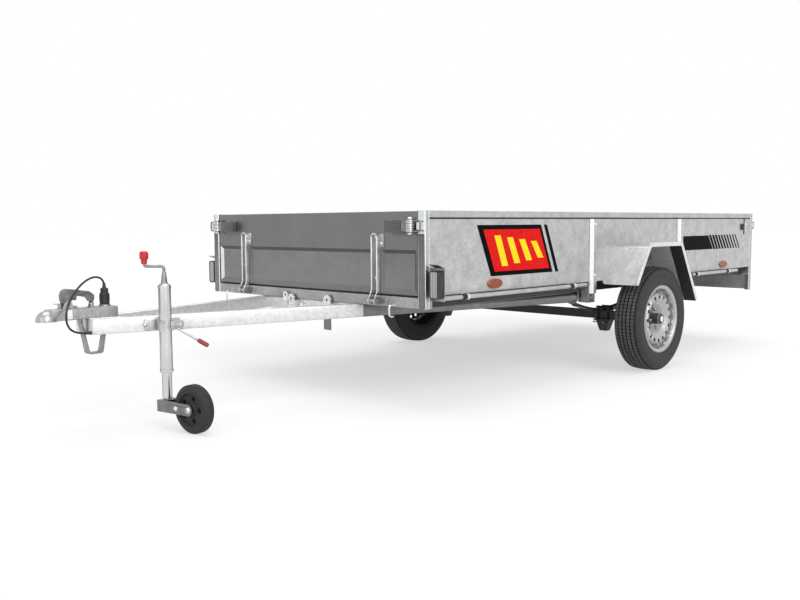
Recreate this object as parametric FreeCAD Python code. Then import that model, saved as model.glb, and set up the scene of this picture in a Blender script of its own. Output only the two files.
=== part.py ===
"""Single-axle tipping utility trailer with a galvanised box, standing level on its jockey wheel.

Millimetres. +X points forward to the coupling, +Y to the trailer's left, +Z up.
The origin is on the ground, on the centre line, midway between the coupling's nose and the tailgate latches.
"""
import FreeCAD
import Part
import math
import os
from FreeCAD import Vector

# Gaps between pieces
MOVE_GAP = 5.0          # between a moving piece and what it passes
SEAT_GAP = 0.3          # between a piece and the one it rests on, on another body
PIN_GAP = 0.05          # radial, round a pin or shaft
PIN_END_GAP = 4.0       # between a shaft's end and the foot of its bore

# Box: outside sizes, front and rear faces of the corner posts, outside faces of the posts
BOX_LENGTH = 3260.0
BOX_WIDTH = 1540.0
BOX_TOP_Z = 854.0
SIDE_BOTTOM_Z = 497.0   # lower edge of the side sheets and of both gates
FLOOR_TOP_Z = 505.0
FLOOR_THICK = 15.0
SIDE_THICK = 20.0
GATE_THICK = 25.0
FRAME_BOTTOM_Z = 444.0
FRAME_WIDTH = 45.0
MEMBER_INSET = 22.0     # side member's outer face inside the side sheet's inner face
WALL = 3.0              # folded sheet of posts, brackets and light board
FRONT_BEARER = 620.0    # stations behind the box's front of the bearers clear of the springs
REAR_BEARER = 2680.0

# Top rail and the open joint under it
RAIL_HEIGHT = 30.0
RAIL_WIDTH = 28.0
RAIL_JOINT = 6.0
RAIL_JOINT_DEPTH = 8.0

# Corner posts and side ribs
POST_FACE = 44.0
POST_SIDE_FRONT = 25.0
POST_SIDE_REAR = 40.0
POST_FOOT_REAR_Z = 340.0
REAR_RIB = 2215.0       # the front rib stands over the tip pivot
RIB_FOOT_Z = (436.0, 446.0)
RIB_WIDTH = 55.0
RIB_CROWN = 34.0
RIB_PROUD = 20.0

# Gates
GATE_INSET = 4.0        # gate's outer face behind the post's face
GATE_TOP_Z = 852.0
RECESS_TOP_Z = 690.0
RECESS_BOTTOM_Z = 508.0
RECESS_DEPTH = 10.0
RECESS_SLOPE = 17.0
STRAP_Y = 480.0
STRAP_WIDTH = 40.0
STRAP_DEPTH = 20.0
STRAP_SHEET = 4.0
STRAP_TOP_Z = 760.0
STRAP_KNEE = 15.0       # start of the bend above the gate's lower edge
FRONT_PIVOT_OUT = 24.0
FRONT_PIVOT_Z = 466.0
REAR_PIVOT_OUT = 30.0
REAR_PIVOT_Z = 478.0
HINGE_EYE_R = 14.0
HINGE_BOLT_R = 6.0
HINGE_EAR_GAP = 1.0
HINGE_BOLT_END = 5.0
EAR_INSET = 5.0         # ear's root inside the crossmember's lower and upper edges

# Gate latches
FRONT_LATCH_Z = 790.0
REAR_LATCH_Z = 776.0
LATCH_HEIGHT = 60.0
LATCH_LENGTH = 160.0
LATCH_BASE = 5.0
LEVER_HEIGHT = 46.0
LEVER_SHEET = 6.0
BARREL_R = 13.0
BAIL_R = 4.0
BAIL_BEND = 9.0
FRONT_CATCH_DEPTH = 12.0
REAR_CATCH_DEPTH = 30.0

# Drawbar
NOSE_REACH = 1290.0     # coupling's nose ahead of the box
ARM_FRONT = 1105.0      # arms' front ends ahead of the box
ARM_FRONT_Y = 51.1      # arm's centre line at its front end
ARM_WIDTH = 40.0
ARM_HEIGHT = 60.0
ARM_WALL = 4.0
BUSH_R = 22.0
BUSH_LENGTH = 72.0
TIP_BOLT_R = 10.0
LUG_THICK = 8.0
LUG_GAP = 1.0
LUG_INSET = 12.2        # outermost pivot lug inside the side member's outer face
LUG_TOP_HALF = 36.0
LUG_FOOT_HALF = 26.0
BRACKET_HALF = 32.0     # folded bracket outside each tip pivot
BRACKET_SHEET = 5.0
BRACKET_FOOT_Z = 388.0
BOLT_HEAD_R = 16.0
BOLT_HEAD = 11.0
CROSS_TUBE_STATION = 15.0
CROSS_TUBE_DEPTH = 50.0

# Coupling
CUP_R = 40.0
BALL_STATION = NOSE_REACH - CUP_R   # ball centre ahead of the box
BALL_R = 25.0
BALL_GAP = 0.3
CUP_BOTTOM_Z = 442.0
CUP_CENTRE_Z = 444.0
BALL_Z = 452.0
COUPLING_TOP_Z = 486.0
COUPLING_REAR = 1052.0
COUPLING_HALF_W = 34.0
COUPLING_WALL = 4.0
SEAT_REAR = 981.0
SEAT_FRONT = 1176.0
COUPLING_NECK = 6.0     # channel's front end behind the ball's centre
SEAT_OVERHANG = 3.0     # seat wider than the channel on each side
HEAD_INSET = 5.0
EAR_FOOT = (1152.0, 1196.0)
EAR_TOP = (1160.0, 1184.0)
EAR_TOP_Z = 514.0
EAR_GAP = 1.0
HANDLE_HALF_W = 16.0
HANDLE_PIVOT = (1172.0, 503.0)
HANDLE_PIN_R = 4.0
HANDLE_PIN_HEAD = 8.0
HANDLE_BEND = 5.0
HANDLE_OUTLINE = ((1194, 538), (1186, 554), (1172, 561), (1132, 556), (1087, 548), (1068, 534), (1067, 520),
                  (1072, 506), (1081, 507), (1092, 524), (1137, 534), (1139, 517), (1159, 517), (1161, 498),
                  (1181, 498), (1192, 516))
FOOT_TOP = (1024.0, 1126.0)      # parking foot's outer width where it meets the drawbar
FOOT_BOTTOM = (1039.0, 1098.0)
FOOT_BOTTOM_Z = 303.0
FOOT_SHEET = 6.0
FOOT_HALF_W = 18.0
FOOT_BEND = 10.0
PLUG_STATION = 1018.0
PLUG_RING_R = 22.0
PLUG_RING = 6.0
PLUG_OUTLINE = ((0, 0), (0, 19.5), (44, 18.5), (46, 15.5), (62, 15), (64, 13), (64, 0))
LEAD_Z = 391.0          # where the lead enters the left arm

# Jockey wheel
JOCKEY_STATION = 861.0
JOCKEY_Y = 182.0
TUBE_R = 24.0
TUBE_TOP_Z = 573.0
TUBE_ROOF = 12.0        # solid top of the tube under the cap
TUBE_BOTTOM_Z = 224.0
LEG_R = 19.0
CLAMP_BOTTOM_Z = 390.0
CLAMP_TOP_Z = 430.0
CLAMP_WALL = 8.0
CLAMP_NECK_HALF = 20.0
CLAMP_PAD = 8.0
CLAMP_PAD_HALF = 70.0
CLAMP_PAD_RISE = 3.0
CLAMP_BITE = 4.0        # neck's root inside the pad
LEVER_START = (-18.0, 24.0, 408.0)   # from the post's axis, and its height
LEVER_END = (-95.0, 75.0, 350.0)
LEVER_R = 5.0
GRIP_R = 9.0
GRIP_LENGTH = 50.0
GRIP_ROUND = 8.0
POST_WALL_GAP = 0.6     # radial, between the outer tube and the leg
CAP_HEIGHT = 18.0
CAP_EDGE = 10.0
CAP_TOP_R = 15.0
CAP_LIP = 1.5
CRANK_R = 6.0
CRANK_BEND = 10.0
CRANK_RISE = 26.0
CONE_FOOT_R = 13.0
CONE_TOP_R = 8.0
CONE_HEIGHT = 44.0
CRANK_ARM = 76.0
CRANK_TOP_Z = 640.0     # middle of the crank's arm
CRANK_ANGLE = -45.5
KNOB_R = 17.0
KNOB_HEIGHT = 50.0
KNOB_START = 9.0        # knob's foot above the crank arm
KNOB_OUTLINE = ((0, 11), (16, 12), (22, KNOB_R), (44, KNOB_R), (KNOB_HEIGHT, 11))
TRAIL = 152.0
TRAIL_ANGLE = 100.0
JOCKEY_WHEEL_R = 95.0
JOCKEY_WHEEL_WIDTH = 50.0
JOCKEY_AXLE_R = 6.0
JOCKEY_AXLE_END = 6.0
JOCKEY_WHEEL_OUTLINE = ((0, 26), (8, 30), (8, 60), (0, 64), (0, 82), (12, JOCKEY_WHEEL_R))
JOCKEY_SLOTS = 5
JOCKEY_SLOT_R = 10.0
JOCKEY_SLOT_CIRCLE = 45.0
LEG_TOP_DROP = 160.0    # leg's top below the tube's
LEG_FOOT = 6.0          # leg's shoulder above the fork
SWIVEL_R = 9.0
SWIVEL_DEPTH = 30.0
FORK_HEIGHT = 46.0
FORK_SHEET = 5.0
FORK_HEAD_FRONT = 22.0
FORK_HEAD_REAR = 24.0

# Running gear
AXLE_STATION = 1684.0
TYRE_R = 280.5
TYRE_WIDTH = 145.0
TYRE_SIDE_GAP = 36.0    # tyre's inner wall outside the box
RIM_R = 182.5
RIM_WIDTH = 128.0
BEAD_R = 168.0
AXLE_BEAM = 45.0
STUB_R = 15.0
HUB_R = 58.0
HUB_BORE_END = 30.0     # outboard end of the stub's bore
HUB_SPIGOT_R = 29.0
STUB_BORE_R = 30.0      # disc's hole over the hub's spigot
SPRING_WIDTH = 50.0
SPRING_LEAF = 6.0
SPRING_LEAVES = 3
SPRING_HALF = 417.0     # from the axle to either eye
SPRING_EYE_R = 18.0
SPRING_GAP = 1.0
STUD_R = 5.0
CLAMP_PLATE_Z = 190.0   # lowest point of the plates under the axle
CLAMP_PLATE = 8.0
CLAMP_PLATE_HALF = 50.0
CLAMP_PLATE_HALF_W = 45.0
CLAMP_TONGUE = ((28.0, 42.0), (18.0, 22.0))   # half length and half width at its top and foot
STUD_GAP = 2.0
STUD_TAIL = 8.0
SADDLE_HEIGHT = 10.0
LEAF_SHARES = (1.0, 0.72, 0.45)   # longest leaf first
HUB_TIP = 30.0          # dust cap beyond the stub's bore
HUB_CAP_R = 22.0
HUB_BODY_R = 36.0
HUB_BACK = -60.0        # hub's inner end, from the tyre's middle
WELL_R = 150.0          # bottom of the rim's well
TYRE_SHOULDER = ((2.0, 70.5), (0.0, 54.5), (1.0, 38.5), (7.0, 20.5), (16.0, 6.0), (28.0, 1.5), (52.5, 0.0))
TYRE_CAVITY = ((24.0, 20.0), (13.0, 40.5), (12.0, 58.5))   # both inside the tyre's side wall and its tread
DISC_OUTLINE = ((-14, 148), (22, 140), (32, 126), (32, 112), (22, 96), (8, 78), (8, STUB_BORE_R),
                (4, STUB_BORE_R), (4, 80), (18, 98), (28, 113), (28, 125), (18, 136), (-14, 143))
DISC_OFFSET = 20.0      # wheel disc outboard of the tyre's middle
WHEEL_HOLES = 16
WHEEL_HOLE_R = 11.0
WHEEL_HOLE_CIRCLE = 119.0

# Mudguards
GUARD_TOP_Z = 672.0
GUARD_TOP_HALF = 165.0
GUARD_FRONT_OUT = 292.0
GUARD_FRONT_Z = 475.0
GUARD_REAR_OUT = 357.0
GUARD_REAR_Z = 355.0
GUARD_WIDTH = 200.0
GUARD_SHEET = 3.0
GUARD_LIP = 22.0
GUARD_BEND = 26.0

# Lamps, rails and small fittings
TARP_RAIL_R = 9.5
TARP_RAIL_Z = 486.0
TARP_RAIL_PROUD = 30.0
TARP_RAIL_SPANS = ((79.0, 1168.0), (2335.0, 2963.0))
TARP_LUG_STATIONS = ((235.0, 1056.0), (2400.0, 2835.0))   # one pair of lugs to each span above
TARP_LUG_THICK = 10.0
TARP_LUG_ROOT = 5.0     # lug's inner end outside the side wall's inner face
COLLAR_WALL = 3.5
COLLAR_LENGTH = 18.0
MARKER_FRONT = 463.0    # stations behind the box's front
MARKER_REAR = 2821.0
MARKER_Z = 529.0
MARKER_HALF_LENGTH = 52.0
MARKER_HALF_HEIGHT = 23.0
MARKER_PROUD = 8.0
MARKER_CHAMFER = 3.0
BOARD_BOTTOM_Z = 345.0
BOARD_TOP_Z = 487.0
BOARD_FLANGE = 14.0
TAIL_LAMP_Y = 630.0     # middle of the lamp
TAIL_LAMP_LENGTH = 140.0
TAIL_LAMP_HEIGHT = 70.0
TAIL_LAMP_Z = 407.0
TAIL_LAMP_DEPTH = 22.0
TAIL_LAMP_CORNER = 8.0
LAMP_STATION = 6.0      # front lamp's lens behind the box's front
LAMP_DEPTH = 40.0
LAMP_WIDTH = 47.0
LAMP_GAP = 15.0         # lamp's inner side outside the box
LAMP_HEIGHT = 117.0
LAMP_BOTTOM_Z = 489.0
LAMP_CORNER = 12.0
LENS_DEPTH = 4.0
HOOD_RISE = 28.0
HOOK_INSET = 170.0      # rope hooks under the front crossmember, inside the box's sides
HOOK_R = 4.0
HOOK_REACH = 46.0
HOOK_DROP = 50.0
HOOK_BEND = 14.0
HOOK_ROOT = 12.0        # hook's root above the crossmember's lower edge
TIP_PLATES = ((160.0, 46.0, 312.0, 474.0), (-147.0, 34.0, 402.0, 476.0), (-104.0, 44.0, 388.0, 466.0))
TIP_PLATE_SHEET = 8.0   # each plate above: middle y, width, foot and top heights
TIP_HOLE_R = 7.0
TIP_FOOT_Z = (392.0, 434.0)
TIP_FOOT_TRIM = 5.0
EYE_BOLT_R = 4.0
EYE_RING_R = 12.0
EYE_REACH = 26.0
CABLE_R = 4.0

# Stations along the trailer
REAR_REACH = REAR_CATCH_DEPTH + MOVE_GAP + BAIL_R + BARREL_R   # tailgate latches behind the posts
HALF_LENGTH = (NOSE_REACH + BOX_LENGTH + REAR_REACH) / 2.0
FRONT_X = HALF_LENGTH - NOSE_REACH
REAR_X = FRONT_X - BOX_LENGTH
AXLE_X = FRONT_X - AXLE_STATION
AXLE_Z = TYRE_R
PIVOT_STATION = AXLE_STATION - SPRING_HALF   # tip pivot and front spring eye share one bolt
PIVOT_X = FRONT_X - PIVOT_STATION
ARM_TOP_Z = FRAME_BOTTOM_Z - SEAT_GAP
PIVOT_Z = ARM_TOP_Z - ARM_HEIGHT / 2.0
HALF_W = BOX_WIDTH / 2.0
SHEET_Y = HALF_W - WALL             # outside face of the side sheet
INNER_Y = SHEET_Y - SIDE_THICK      # inside face of the side wall
FRAME_TOP_Z = FLOOR_TOP_Z - FLOOR_THICK
WHEEL_Y = HALF_W + TYRE_SIDE_GAP + TYRE_WIDTH / 2.0
GATE_HALF_W = HALF_W - POST_FACE - MOVE_GAP
JOCKEY_X = FRONT_X + JOCKEY_STATION
MEMBER_Y = INNER_Y - MEMBER_INSET   # outer face of the side member
BEARER_STATIONS = (FRONT_BEARER, PIVOT_STATION, AXLE_STATION, AXLE_STATION + SPRING_HALF, REAR_BEARER)
RIB_STATIONS = (PIVOT_STATION, REAR_RIB)
BUSH_Y = MEMBER_Y - LUG_INSET - LUG_THICK - LUG_GAP - BUSH_LENGTH / 2
ARM_SPLAY = (BUSH_Y - ARM_FRONT_Y) / (ARM_FRONT + PIVOT_STATION)   # sideways for each millimetre back
SPRING_Y = BUSH_Y - BUSH_LENGTH / 2 - LUG_GAP - LUG_THICK - SPRING_GAP - SPRING_WIDTH / 2


def arm_y(x):
    """Centre line of the left drawbar arm at a place along the trailer."""
    return ARM_FRONT_Y + ARM_SPLAY * (FRONT_X + ARM_FRONT - x)


def box(x0, x1, y0, y1, z0, z1):
    """A block between two corners, given in any order."""
    low = Vector(min(x0, x1), min(y0, y1), min(z0, z1))
    return Part.makeBox(abs(x1 - x0), abs(y1 - y0), abs(z1 - z0), low)


def rod(start, end, radius):
    """A round bar between two points."""
    start = Vector(*start)
    along = Vector(*end) - start
    return Part.makeCylinder(radius, along.Length, start, along)


def rounded_face(corners, radii):
    """A flat face with straight sides whose corners are rounded, each by its own radius or not at all."""
    starts = []
    ends = []
    arcs = []
    for index, corner in enumerate(corners):
        radius = radii[index]
        if radius <= 0:
            starts.append(corner)
            ends.append(corner)
            arcs.append(None)
            continue
        back = (corners[index - 1] - corner).normalize()
        ahead = (corners[(index + 1) % len(corners)] - corner).normalize()
        half = back.getAngle(ahead) / 2.0
        cut = radius / math.tan(half)
        inner = corner + (back + ahead).normalize() * (radius / math.sin(half) - radius)
        starts.append(corner + back * cut)
        ends.append(corner + ahead * cut)
        arcs.append(Part.Arc(starts[-1], inner, ends[-1]).toShape())
    edges = []
    for index in range(len(corners)):
        if arcs[index]:
            edges.append(arcs[index])
        edges.append(Part.LineSegment(ends[index], starts[(index + 1) % len(corners)]).toShape())
    return Part.Face(Part.Wire(edges))


def slab_xz(points, y0, y1, radii=None):
    """A plate cut to an outline of (x, z) points, between two values of y."""
    corners = [Vector(x, y0, z) for x, z in points]
    face = rounded_face(corners, radii or [0] * len(corners))
    return face.extrude(Vector(0, y1 - y0, 0))


def slab_xy(points, z0, z1):
    """A plate cut to an outline of (x, y) points, between two heights."""
    corners = [Vector(x, y, z0) for x, y in points]
    face = Part.Face(Part.makePolygon(corners + corners[:1]))
    return face.extrude(Vector(0, 0, z1 - z0))


def turned(points, centre, axis):
    """A solid turned from an outline of (along, radius) points about an axis through the centre."""
    side = Vector(1, 0, 0) if abs(axis.x) < 0.5 else Vector(0, 0, 1)
    corners = [centre + axis * along + side * radius for along, radius in points]
    face = Part.Face(Part.makePolygon(corners + corners[:1]))
    return face.revolve(centre, axis, 360)


def bent_bar(points, radius, bend):
    """A round bar along straight runs joined by tangent arcs of one radius, or a list of radii."""
    points = [Vector(*p) for p in points]
    bends = bend if isinstance(bend, (list, tuple)) else [bend] * (len(points) - 2)
    edges = []
    last = points[0]
    for index in range(1, len(points) - 1):
        corner = points[index]
        back = (points[index - 1] - corner).normalize()
        ahead = (points[index + 1] - corner).normalize()
        half = back.getAngle(ahead) / 2.0
        cut = bends[index - 1] / math.tan(half)
        start = corner + back * cut
        end = corner + ahead * cut
        middle = (back + ahead).normalize()
        inner = corner + middle * (bends[index - 1] / math.sin(half) - bends[index - 1])
        edges.append(Part.LineSegment(last, start).toShape())
        edges.append(Part.Arc(start, inner, end).toShape())
        last = end
    edges.append(Part.LineSegment(last, points[-1]).toShape())
    path = Part.Wire(edges)
    ring = Part.Wire(Part.makeCircle(radius, points[0], points[1] - points[0]))
    return path.makePipeShell([ring], True, False)


def fused(first, *others):
    """One solid from several that touch or cross."""
    joined = first.multiFuse(list(others)) if others else first
    return joined.removeSplitter()


def mirrored(shape):
    """The same piece on the trailer's other side."""
    return shape.mirror(Vector(0, 0, 0), Vector(0, 1, 0))


def both_sides(shape):
    """The piece and its mirror image, as separate solids."""
    return Part.makeCompound([shape, mirrored(shape)])


NODES = {}


def add(name, shape):
    NODES[name] = shape


def add_pair(name, shape):
    add(name + "_left", shape)
    add(name + "_right", mirrored(shape))


# Floor frame: two side members, front and rear crossmembers and the bearers between them
member_inner = MEMBER_Y - FRAME_WIDTH
member = box(FRONT_X - FRAME_WIDTH, REAR_X + FRAME_WIDTH, member_inner, MEMBER_Y,
             FRAME_BOTTOM_Z, FRAME_TOP_Z)
add("side_members", both_sides(member))
front_beam = box(FRONT_X - FRAME_WIDTH, FRONT_X - WALL, -HALF_W + WALL, HALF_W - WALL,
                 FRAME_BOTTOM_Z, FRAME_TOP_Z)
rear_beam = box(REAR_X + WALL, REAR_X + FRAME_WIDTH, -HALF_W + WALL, HALF_W - WALL,
                FRAME_BOTTOM_Z, FRAME_TOP_Z)
bearers = [front_beam, rear_beam]
for station in BEARER_STATIONS:
    middle = FRONT_X - station
    bearers.append(box(middle - FRAME_WIDTH / 2, middle + FRAME_WIDTH / 2,
                       -member_inner, member_inner, FRAME_BOTTOM_Z, FRAME_TOP_Z))
add("crossmembers", Part.makeCompound(bearers))

# Plywood floor, between the gates and the side walls
floor_front = FRONT_X - GATE_INSET - GATE_THICK - MOVE_GAP
floor_rear = REAR_X + GATE_INSET + GATE_THICK + MOVE_GAP
add("floor", box(floor_front, floor_rear, -INNER_Y, INNER_Y, FRAME_TOP_Z, FLOOR_TOP_Z))

# Side walls, with the open joint under the top rail on the outside
rail_bottom = BOX_TOP_Z - RAIL_HEIGHT
wall_profile = ((INNER_Y, SIDE_BOTTOM_Z), (SHEET_Y, SIDE_BOTTOM_Z), (SHEET_Y, rail_bottom - RAIL_JOINT),
                (SHEET_Y - RAIL_JOINT_DEPTH, rail_bottom - RAIL_JOINT),
                (SHEET_Y - RAIL_JOINT_DEPTH, rail_bottom), (INNER_Y, rail_bottom))
wall_corners = [Vector(REAR_X + WALL, y, z) for y, z in wall_profile]
wall_end = Part.Face(Part.makePolygon(wall_corners + wall_corners[:1]))
side_wall = wall_end.extrude(Vector(BOX_LENGTH - 2 * WALL, 0, 0))
add("side_panels", both_sides(side_wall))
rail = box(REAR_X + WALL, FRONT_X - WALL, SHEET_Y - RAIL_WIDTH, SHEET_Y, rail_bottom, BOX_TOP_Z)
add("top_rails", both_sides(rail))


def corner_post(face_x, inward, side_length, foot_z):
    """Folded post at a left corner: a face, a long outer side and a return beside the gate."""
    inner = HALF_W - POST_FACE
    face = box(face_x, face_x + inward * WALL, inner, HALF_W, foot_z, BOX_TOP_Z)
    side = box(face_x, face_x + inward * side_length, SHEET_Y, HALF_W, foot_z, BOX_TOP_Z)
    beside_gate = box(face_x, face_x + inward * GATE_THICK, inner, inner + WALL, SIDE_BOTTOM_Z, BOX_TOP_Z)
    return fused(face, side, beside_gate)


def post_catch(face_x, outward, depth, middle_z):
    """The keeper on a left post that the gate latch's bail reaches over."""
    return box(face_x, face_x + outward * depth, HALF_W - POST_FACE + MOVE_GAP, HALF_W - MOVE_GAP,
               middle_z - LATCH_HEIGHT / 4, middle_z + LATCH_HEIGHT / 4)


front_post = fused(corner_post(FRONT_X, -1, POST_SIDE_FRONT, FRAME_BOTTOM_Z),
                   post_catch(FRONT_X, 1, FRONT_CATCH_DEPTH, FRONT_LATCH_Z))
rear_post = fused(corner_post(REAR_X, 1, POST_SIDE_REAR, POST_FOOT_REAR_Z),
                  post_catch(REAR_X, -1, REAR_CATCH_DEPTH, REAR_LATCH_Z))
add("corner_posts", Part.makeCompound([front_post, rear_post, mirrored(front_post), mirrored(rear_post)]))

# Side ribs: folded uprights on the outside of the side sheets
ribs = []
for station, foot_z in zip(RIB_STATIONS, RIB_FOOT_Z):
    middle = FRONT_X - station
    outline = ((middle - RIB_WIDTH / 2, SHEET_Y), (middle + RIB_WIDTH / 2, SHEET_Y),
               (middle + RIB_CROWN / 2, SHEET_Y + RIB_PROUD), (middle - RIB_CROWN / 2, SHEET_Y + RIB_PROUD))
    ribs.append(slab_xy(outline, foot_z, rail_bottom - RAIL_JOINT))
add("side_ribs", Part.makeCompound(ribs + [mirrored(rib) for rib in ribs]))


# Gates: a folded sheet with three shallow recesses in its outer face
def recess(y0, y1, face_x, outward):
    """The tapered hollow pressed into a gate's outer face."""
    rings = []
    for inset, depth in ((0.0, 0.0), (RECESS_SLOPE, RECESS_DEPTH)):
        x = face_x - outward * depth
        low_z = RECESS_BOTTOM_Z + inset
        high_z = RECESS_TOP_Z - inset
        corners = [Vector(x, y0 + inset, low_z), Vector(x, y1 - inset, low_z),
                   Vector(x, y1 - inset, high_z), Vector(x, y0 + inset, high_z)]
        rings.append(Part.makePolygon(corners + corners[:1]))
    return Part.makeLoft(rings, True, True)


def gate(face_x, outward):
    """A gate's panel, its outer face at face_x."""
    panel = box(face_x, face_x - outward * GATE_THICK, -GATE_HALF_W, GATE_HALF_W, SIDE_BOTTOM_Z, GATE_TOP_Z)
    near_strap = STRAP_Y - STRAP_WIDTH / 2 - MOVE_GAP
    far_strap = STRAP_Y + STRAP_WIDTH / 2 + MOVE_GAP
    for y0, y1 in ((-near_strap, near_strap), (far_strap, GATE_HALF_W - MOVE_GAP),
                   (MOVE_GAP - GATE_HALF_W, -far_strap)):
        panel = panel.cut(recess(y0, y1, face_x, outward))
    return panel


def strap_bar(x0, x1, half, foot_z):
    """An upright bar with a round top, the outside or the hollow of a gate strap."""
    round_z = STRAP_TOP_Z - STRAP_WIDTH / 2
    return fused(box(x0, x1, STRAP_Y - half, STRAP_Y + half, foot_z, round_z),
                 rod((x0, STRAP_Y, round_z), (x1, STRAP_Y, round_z), half))


def hinge_strap(face_x, outward, pivot_x, pivot_z):
    """A channel bolted up the gate's face, its two flanges running on down to the hinge bolt."""
    def at(out):
        return face_x + outward * out
    knee_z = SIDE_BOTTOM_Z + STRAP_KNEE
    half = STRAP_WIDTH / 2
    flange = slab_xz(((at(0), knee_z), (at(STRAP_DEPTH), knee_z), (pivot_x + outward * HINGE_EYE_R, pivot_z),
                      (pivot_x - outward * HINGE_EYE_R, pivot_z)), 0, STRAP_SHEET)
    eye = rod((pivot_x, 0, pivot_z), (pivot_x, STRAP_SHEET, pivot_z), HINGE_EYE_R)
    hole = rod((pivot_x, -1, pivot_z), (pivot_x, STRAP_SHEET + 1, pivot_z), HINGE_BOLT_R + PIN_GAP)
    flange = fused(flange, eye).cut(hole)
    left = flange.translated(Vector(0, STRAP_Y + half - STRAP_SHEET, 0))
    right = flange.translated(Vector(0, STRAP_Y - half, 0))
    channel = strap_bar(at(0), at(STRAP_DEPTH), half, knee_z)
    hollow = strap_bar(at(STRAP_SHEET), at(STRAP_DEPTH + STRAP_SHEET), half - STRAP_SHEET,
                       knee_z - STRAP_SHEET)
    return fused(left, channel.cut(hollow), right)


def hinge_ears(post_x, outward, pivot_x, pivot_z):
    """Two ears on the crossmember with the hinge bolt through them and a strap between them."""
    half = STRAP_WIDTH / 2 + HINGE_EAR_GAP
    tip = HINGE_EYE_R * math.sqrt(0.5)
    parts = []
    for y0 in (STRAP_Y - half - STRAP_SHEET, STRAP_Y + half):
        tip_x = pivot_x + outward * tip
        parts.append(slab_xz(((post_x, FRAME_BOTTOM_Z + EAR_INSET), (post_x, FRAME_TOP_Z - EAR_INSET),
                              (tip_x, pivot_z + tip), (tip_x, pivot_z - tip),
                              (pivot_x, pivot_z - HINGE_EYE_R)), y0, y0 + STRAP_SHEET))
    reach = half + STRAP_SHEET + HINGE_BOLT_END
    bolt = rod((pivot_x, STRAP_Y - reach, pivot_z), (pivot_x, STRAP_Y + reach, pivot_z), HINGE_BOLT_R)
    return fused(parts[0], bolt, parts[1])


def gate_latch(face_x, outward, catch_depth, middle_z):
    """An over-centre latch: base, barrel and folded lever on the gate, a wire bail in front of the keeper."""
    y_end = GATE_HALF_W - MOVE_GAP
    barrel_y = y_end - BARREL_R
    bail_x = face_x + outward * (GATE_INSET + catch_depth + MOVE_GAP + BAIL_R)
    bail_z = LATCH_HEIGHT / 2 - 2 * BAIL_R
    bail_end = HALF_W - MOVE_GAP - BAIL_R
    base = box(face_x, face_x + outward * LATCH_BASE, y_end - LATCH_LENGTH, y_end,
               middle_z - LATCH_HEIGHT / 2, middle_z + LATCH_HEIGHT / 2)
    block = box(face_x, bail_x, barrel_y - BARREL_R / 2, barrel_y + BARREL_R / 2,
                middle_z - LATCH_HEIGHT / 4, middle_z + LATCH_HEIGHT / 4)
    low_z = middle_z - LATCH_HEIGHT / 2
    high_z = middle_z + LATCH_HEIGHT / 2
    barrel = rod((bail_x, barrel_y, low_z), (bail_x, barrel_y, high_z), BARREL_R)
    lever = box(bail_x, bail_x + outward * LEVER_SHEET, barrel_y - LATCH_LENGTH + 2 * BARREL_R, barrel_y,
                middle_z - LEVER_HEIGHT / 2, middle_z + LEVER_HEIGHT / 2)
    bail = bent_bar(((bail_x, barrel_y, middle_z + bail_z), (bail_x, bail_end, middle_z + bail_z),
                     (bail_x, bail_end, middle_z - bail_z), (bail_x, barrel_y, middle_z - bail_z)),
                    BAIL_R, BAIL_BEND)
    return fused(base, block, barrel, lever, bail)


front_gate_x = FRONT_X - GATE_INSET
front_pivot_x = FRONT_X + FRONT_PIVOT_OUT
add("front_gate", gate(front_gate_x, 1))
add("front_gate_straps", both_sides(hinge_strap(front_gate_x, 1, front_pivot_x, FRONT_PIVOT_Z)))
add("front_gate_latches", both_sides(gate_latch(front_gate_x, 1, FRONT_CATCH_DEPTH, FRONT_LATCH_Z)))
front_ears = hinge_ears(FRONT_X - WALL, 1, front_pivot_x, FRONT_PIVOT_Z)
rear_gate_x = REAR_X + GATE_INSET
rear_pivot_x = REAR_X - REAR_PIVOT_OUT
add("tailgate", gate(rear_gate_x, -1))
add("tailgate_straps", both_sides(hinge_strap(rear_gate_x, -1, rear_pivot_x, REAR_PIVOT_Z)))
add("tailgate_latches", both_sides(gate_latch(rear_gate_x, -1, REAR_CATCH_DEPTH, REAR_LATCH_Z)))
rear_ears = hinge_ears(REAR_X, -1, rear_pivot_x, REAR_PIVOT_Z)
add("gate_hinge_ears", Part.makeCompound([front_ears, rear_ears, mirrored(front_ears), mirrored(rear_ears)]))

# Light board under the rear of the floor, with its lamps
board_half = HALF_W - POST_FACE
board = box(REAR_X, REAR_X + WALL, -board_half, board_half, BOARD_BOTTOM_Z, BOARD_TOP_Z)
board_fold = box(REAR_X, REAR_X + BOARD_FLANGE, -board_half, board_half, BOARD_BOTTOM_Z,
                 BOARD_BOTTOM_Z + WALL)
add("light_board", fused(board, board_fold))
tail_lamp = box(REAR_X, REAR_X - TAIL_LAMP_DEPTH, TAIL_LAMP_Y - TAIL_LAMP_LENGTH / 2,
                TAIL_LAMP_Y + TAIL_LAMP_LENGTH / 2, TAIL_LAMP_Z - TAIL_LAMP_HEIGHT / 2,
                TAIL_LAMP_Z + TAIL_LAMP_HEIGHT / 2)
tail_rim = [edge for edge in tail_lamp.Edges if edge.CenterOfMass.x < REAR_X - 1]
add("tail_lamps", both_sides(tail_lamp.makeFillet(TAIL_LAMP_CORNER, tail_rim)))

# Front lamps on folded brackets just behind the front posts
lamp_x = FRONT_X - LAMP_STATION
lens_back = lamp_x - LENS_DEPTH
lamp_back = lamp_x - LAMP_DEPTH
lamp_top = LAMP_BOTTOM_Z + LAMP_HEIGHT
lamp_inner = HALF_W + LAMP_GAP
lamp_outer = lamp_inner + LAMP_WIDTH


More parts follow.
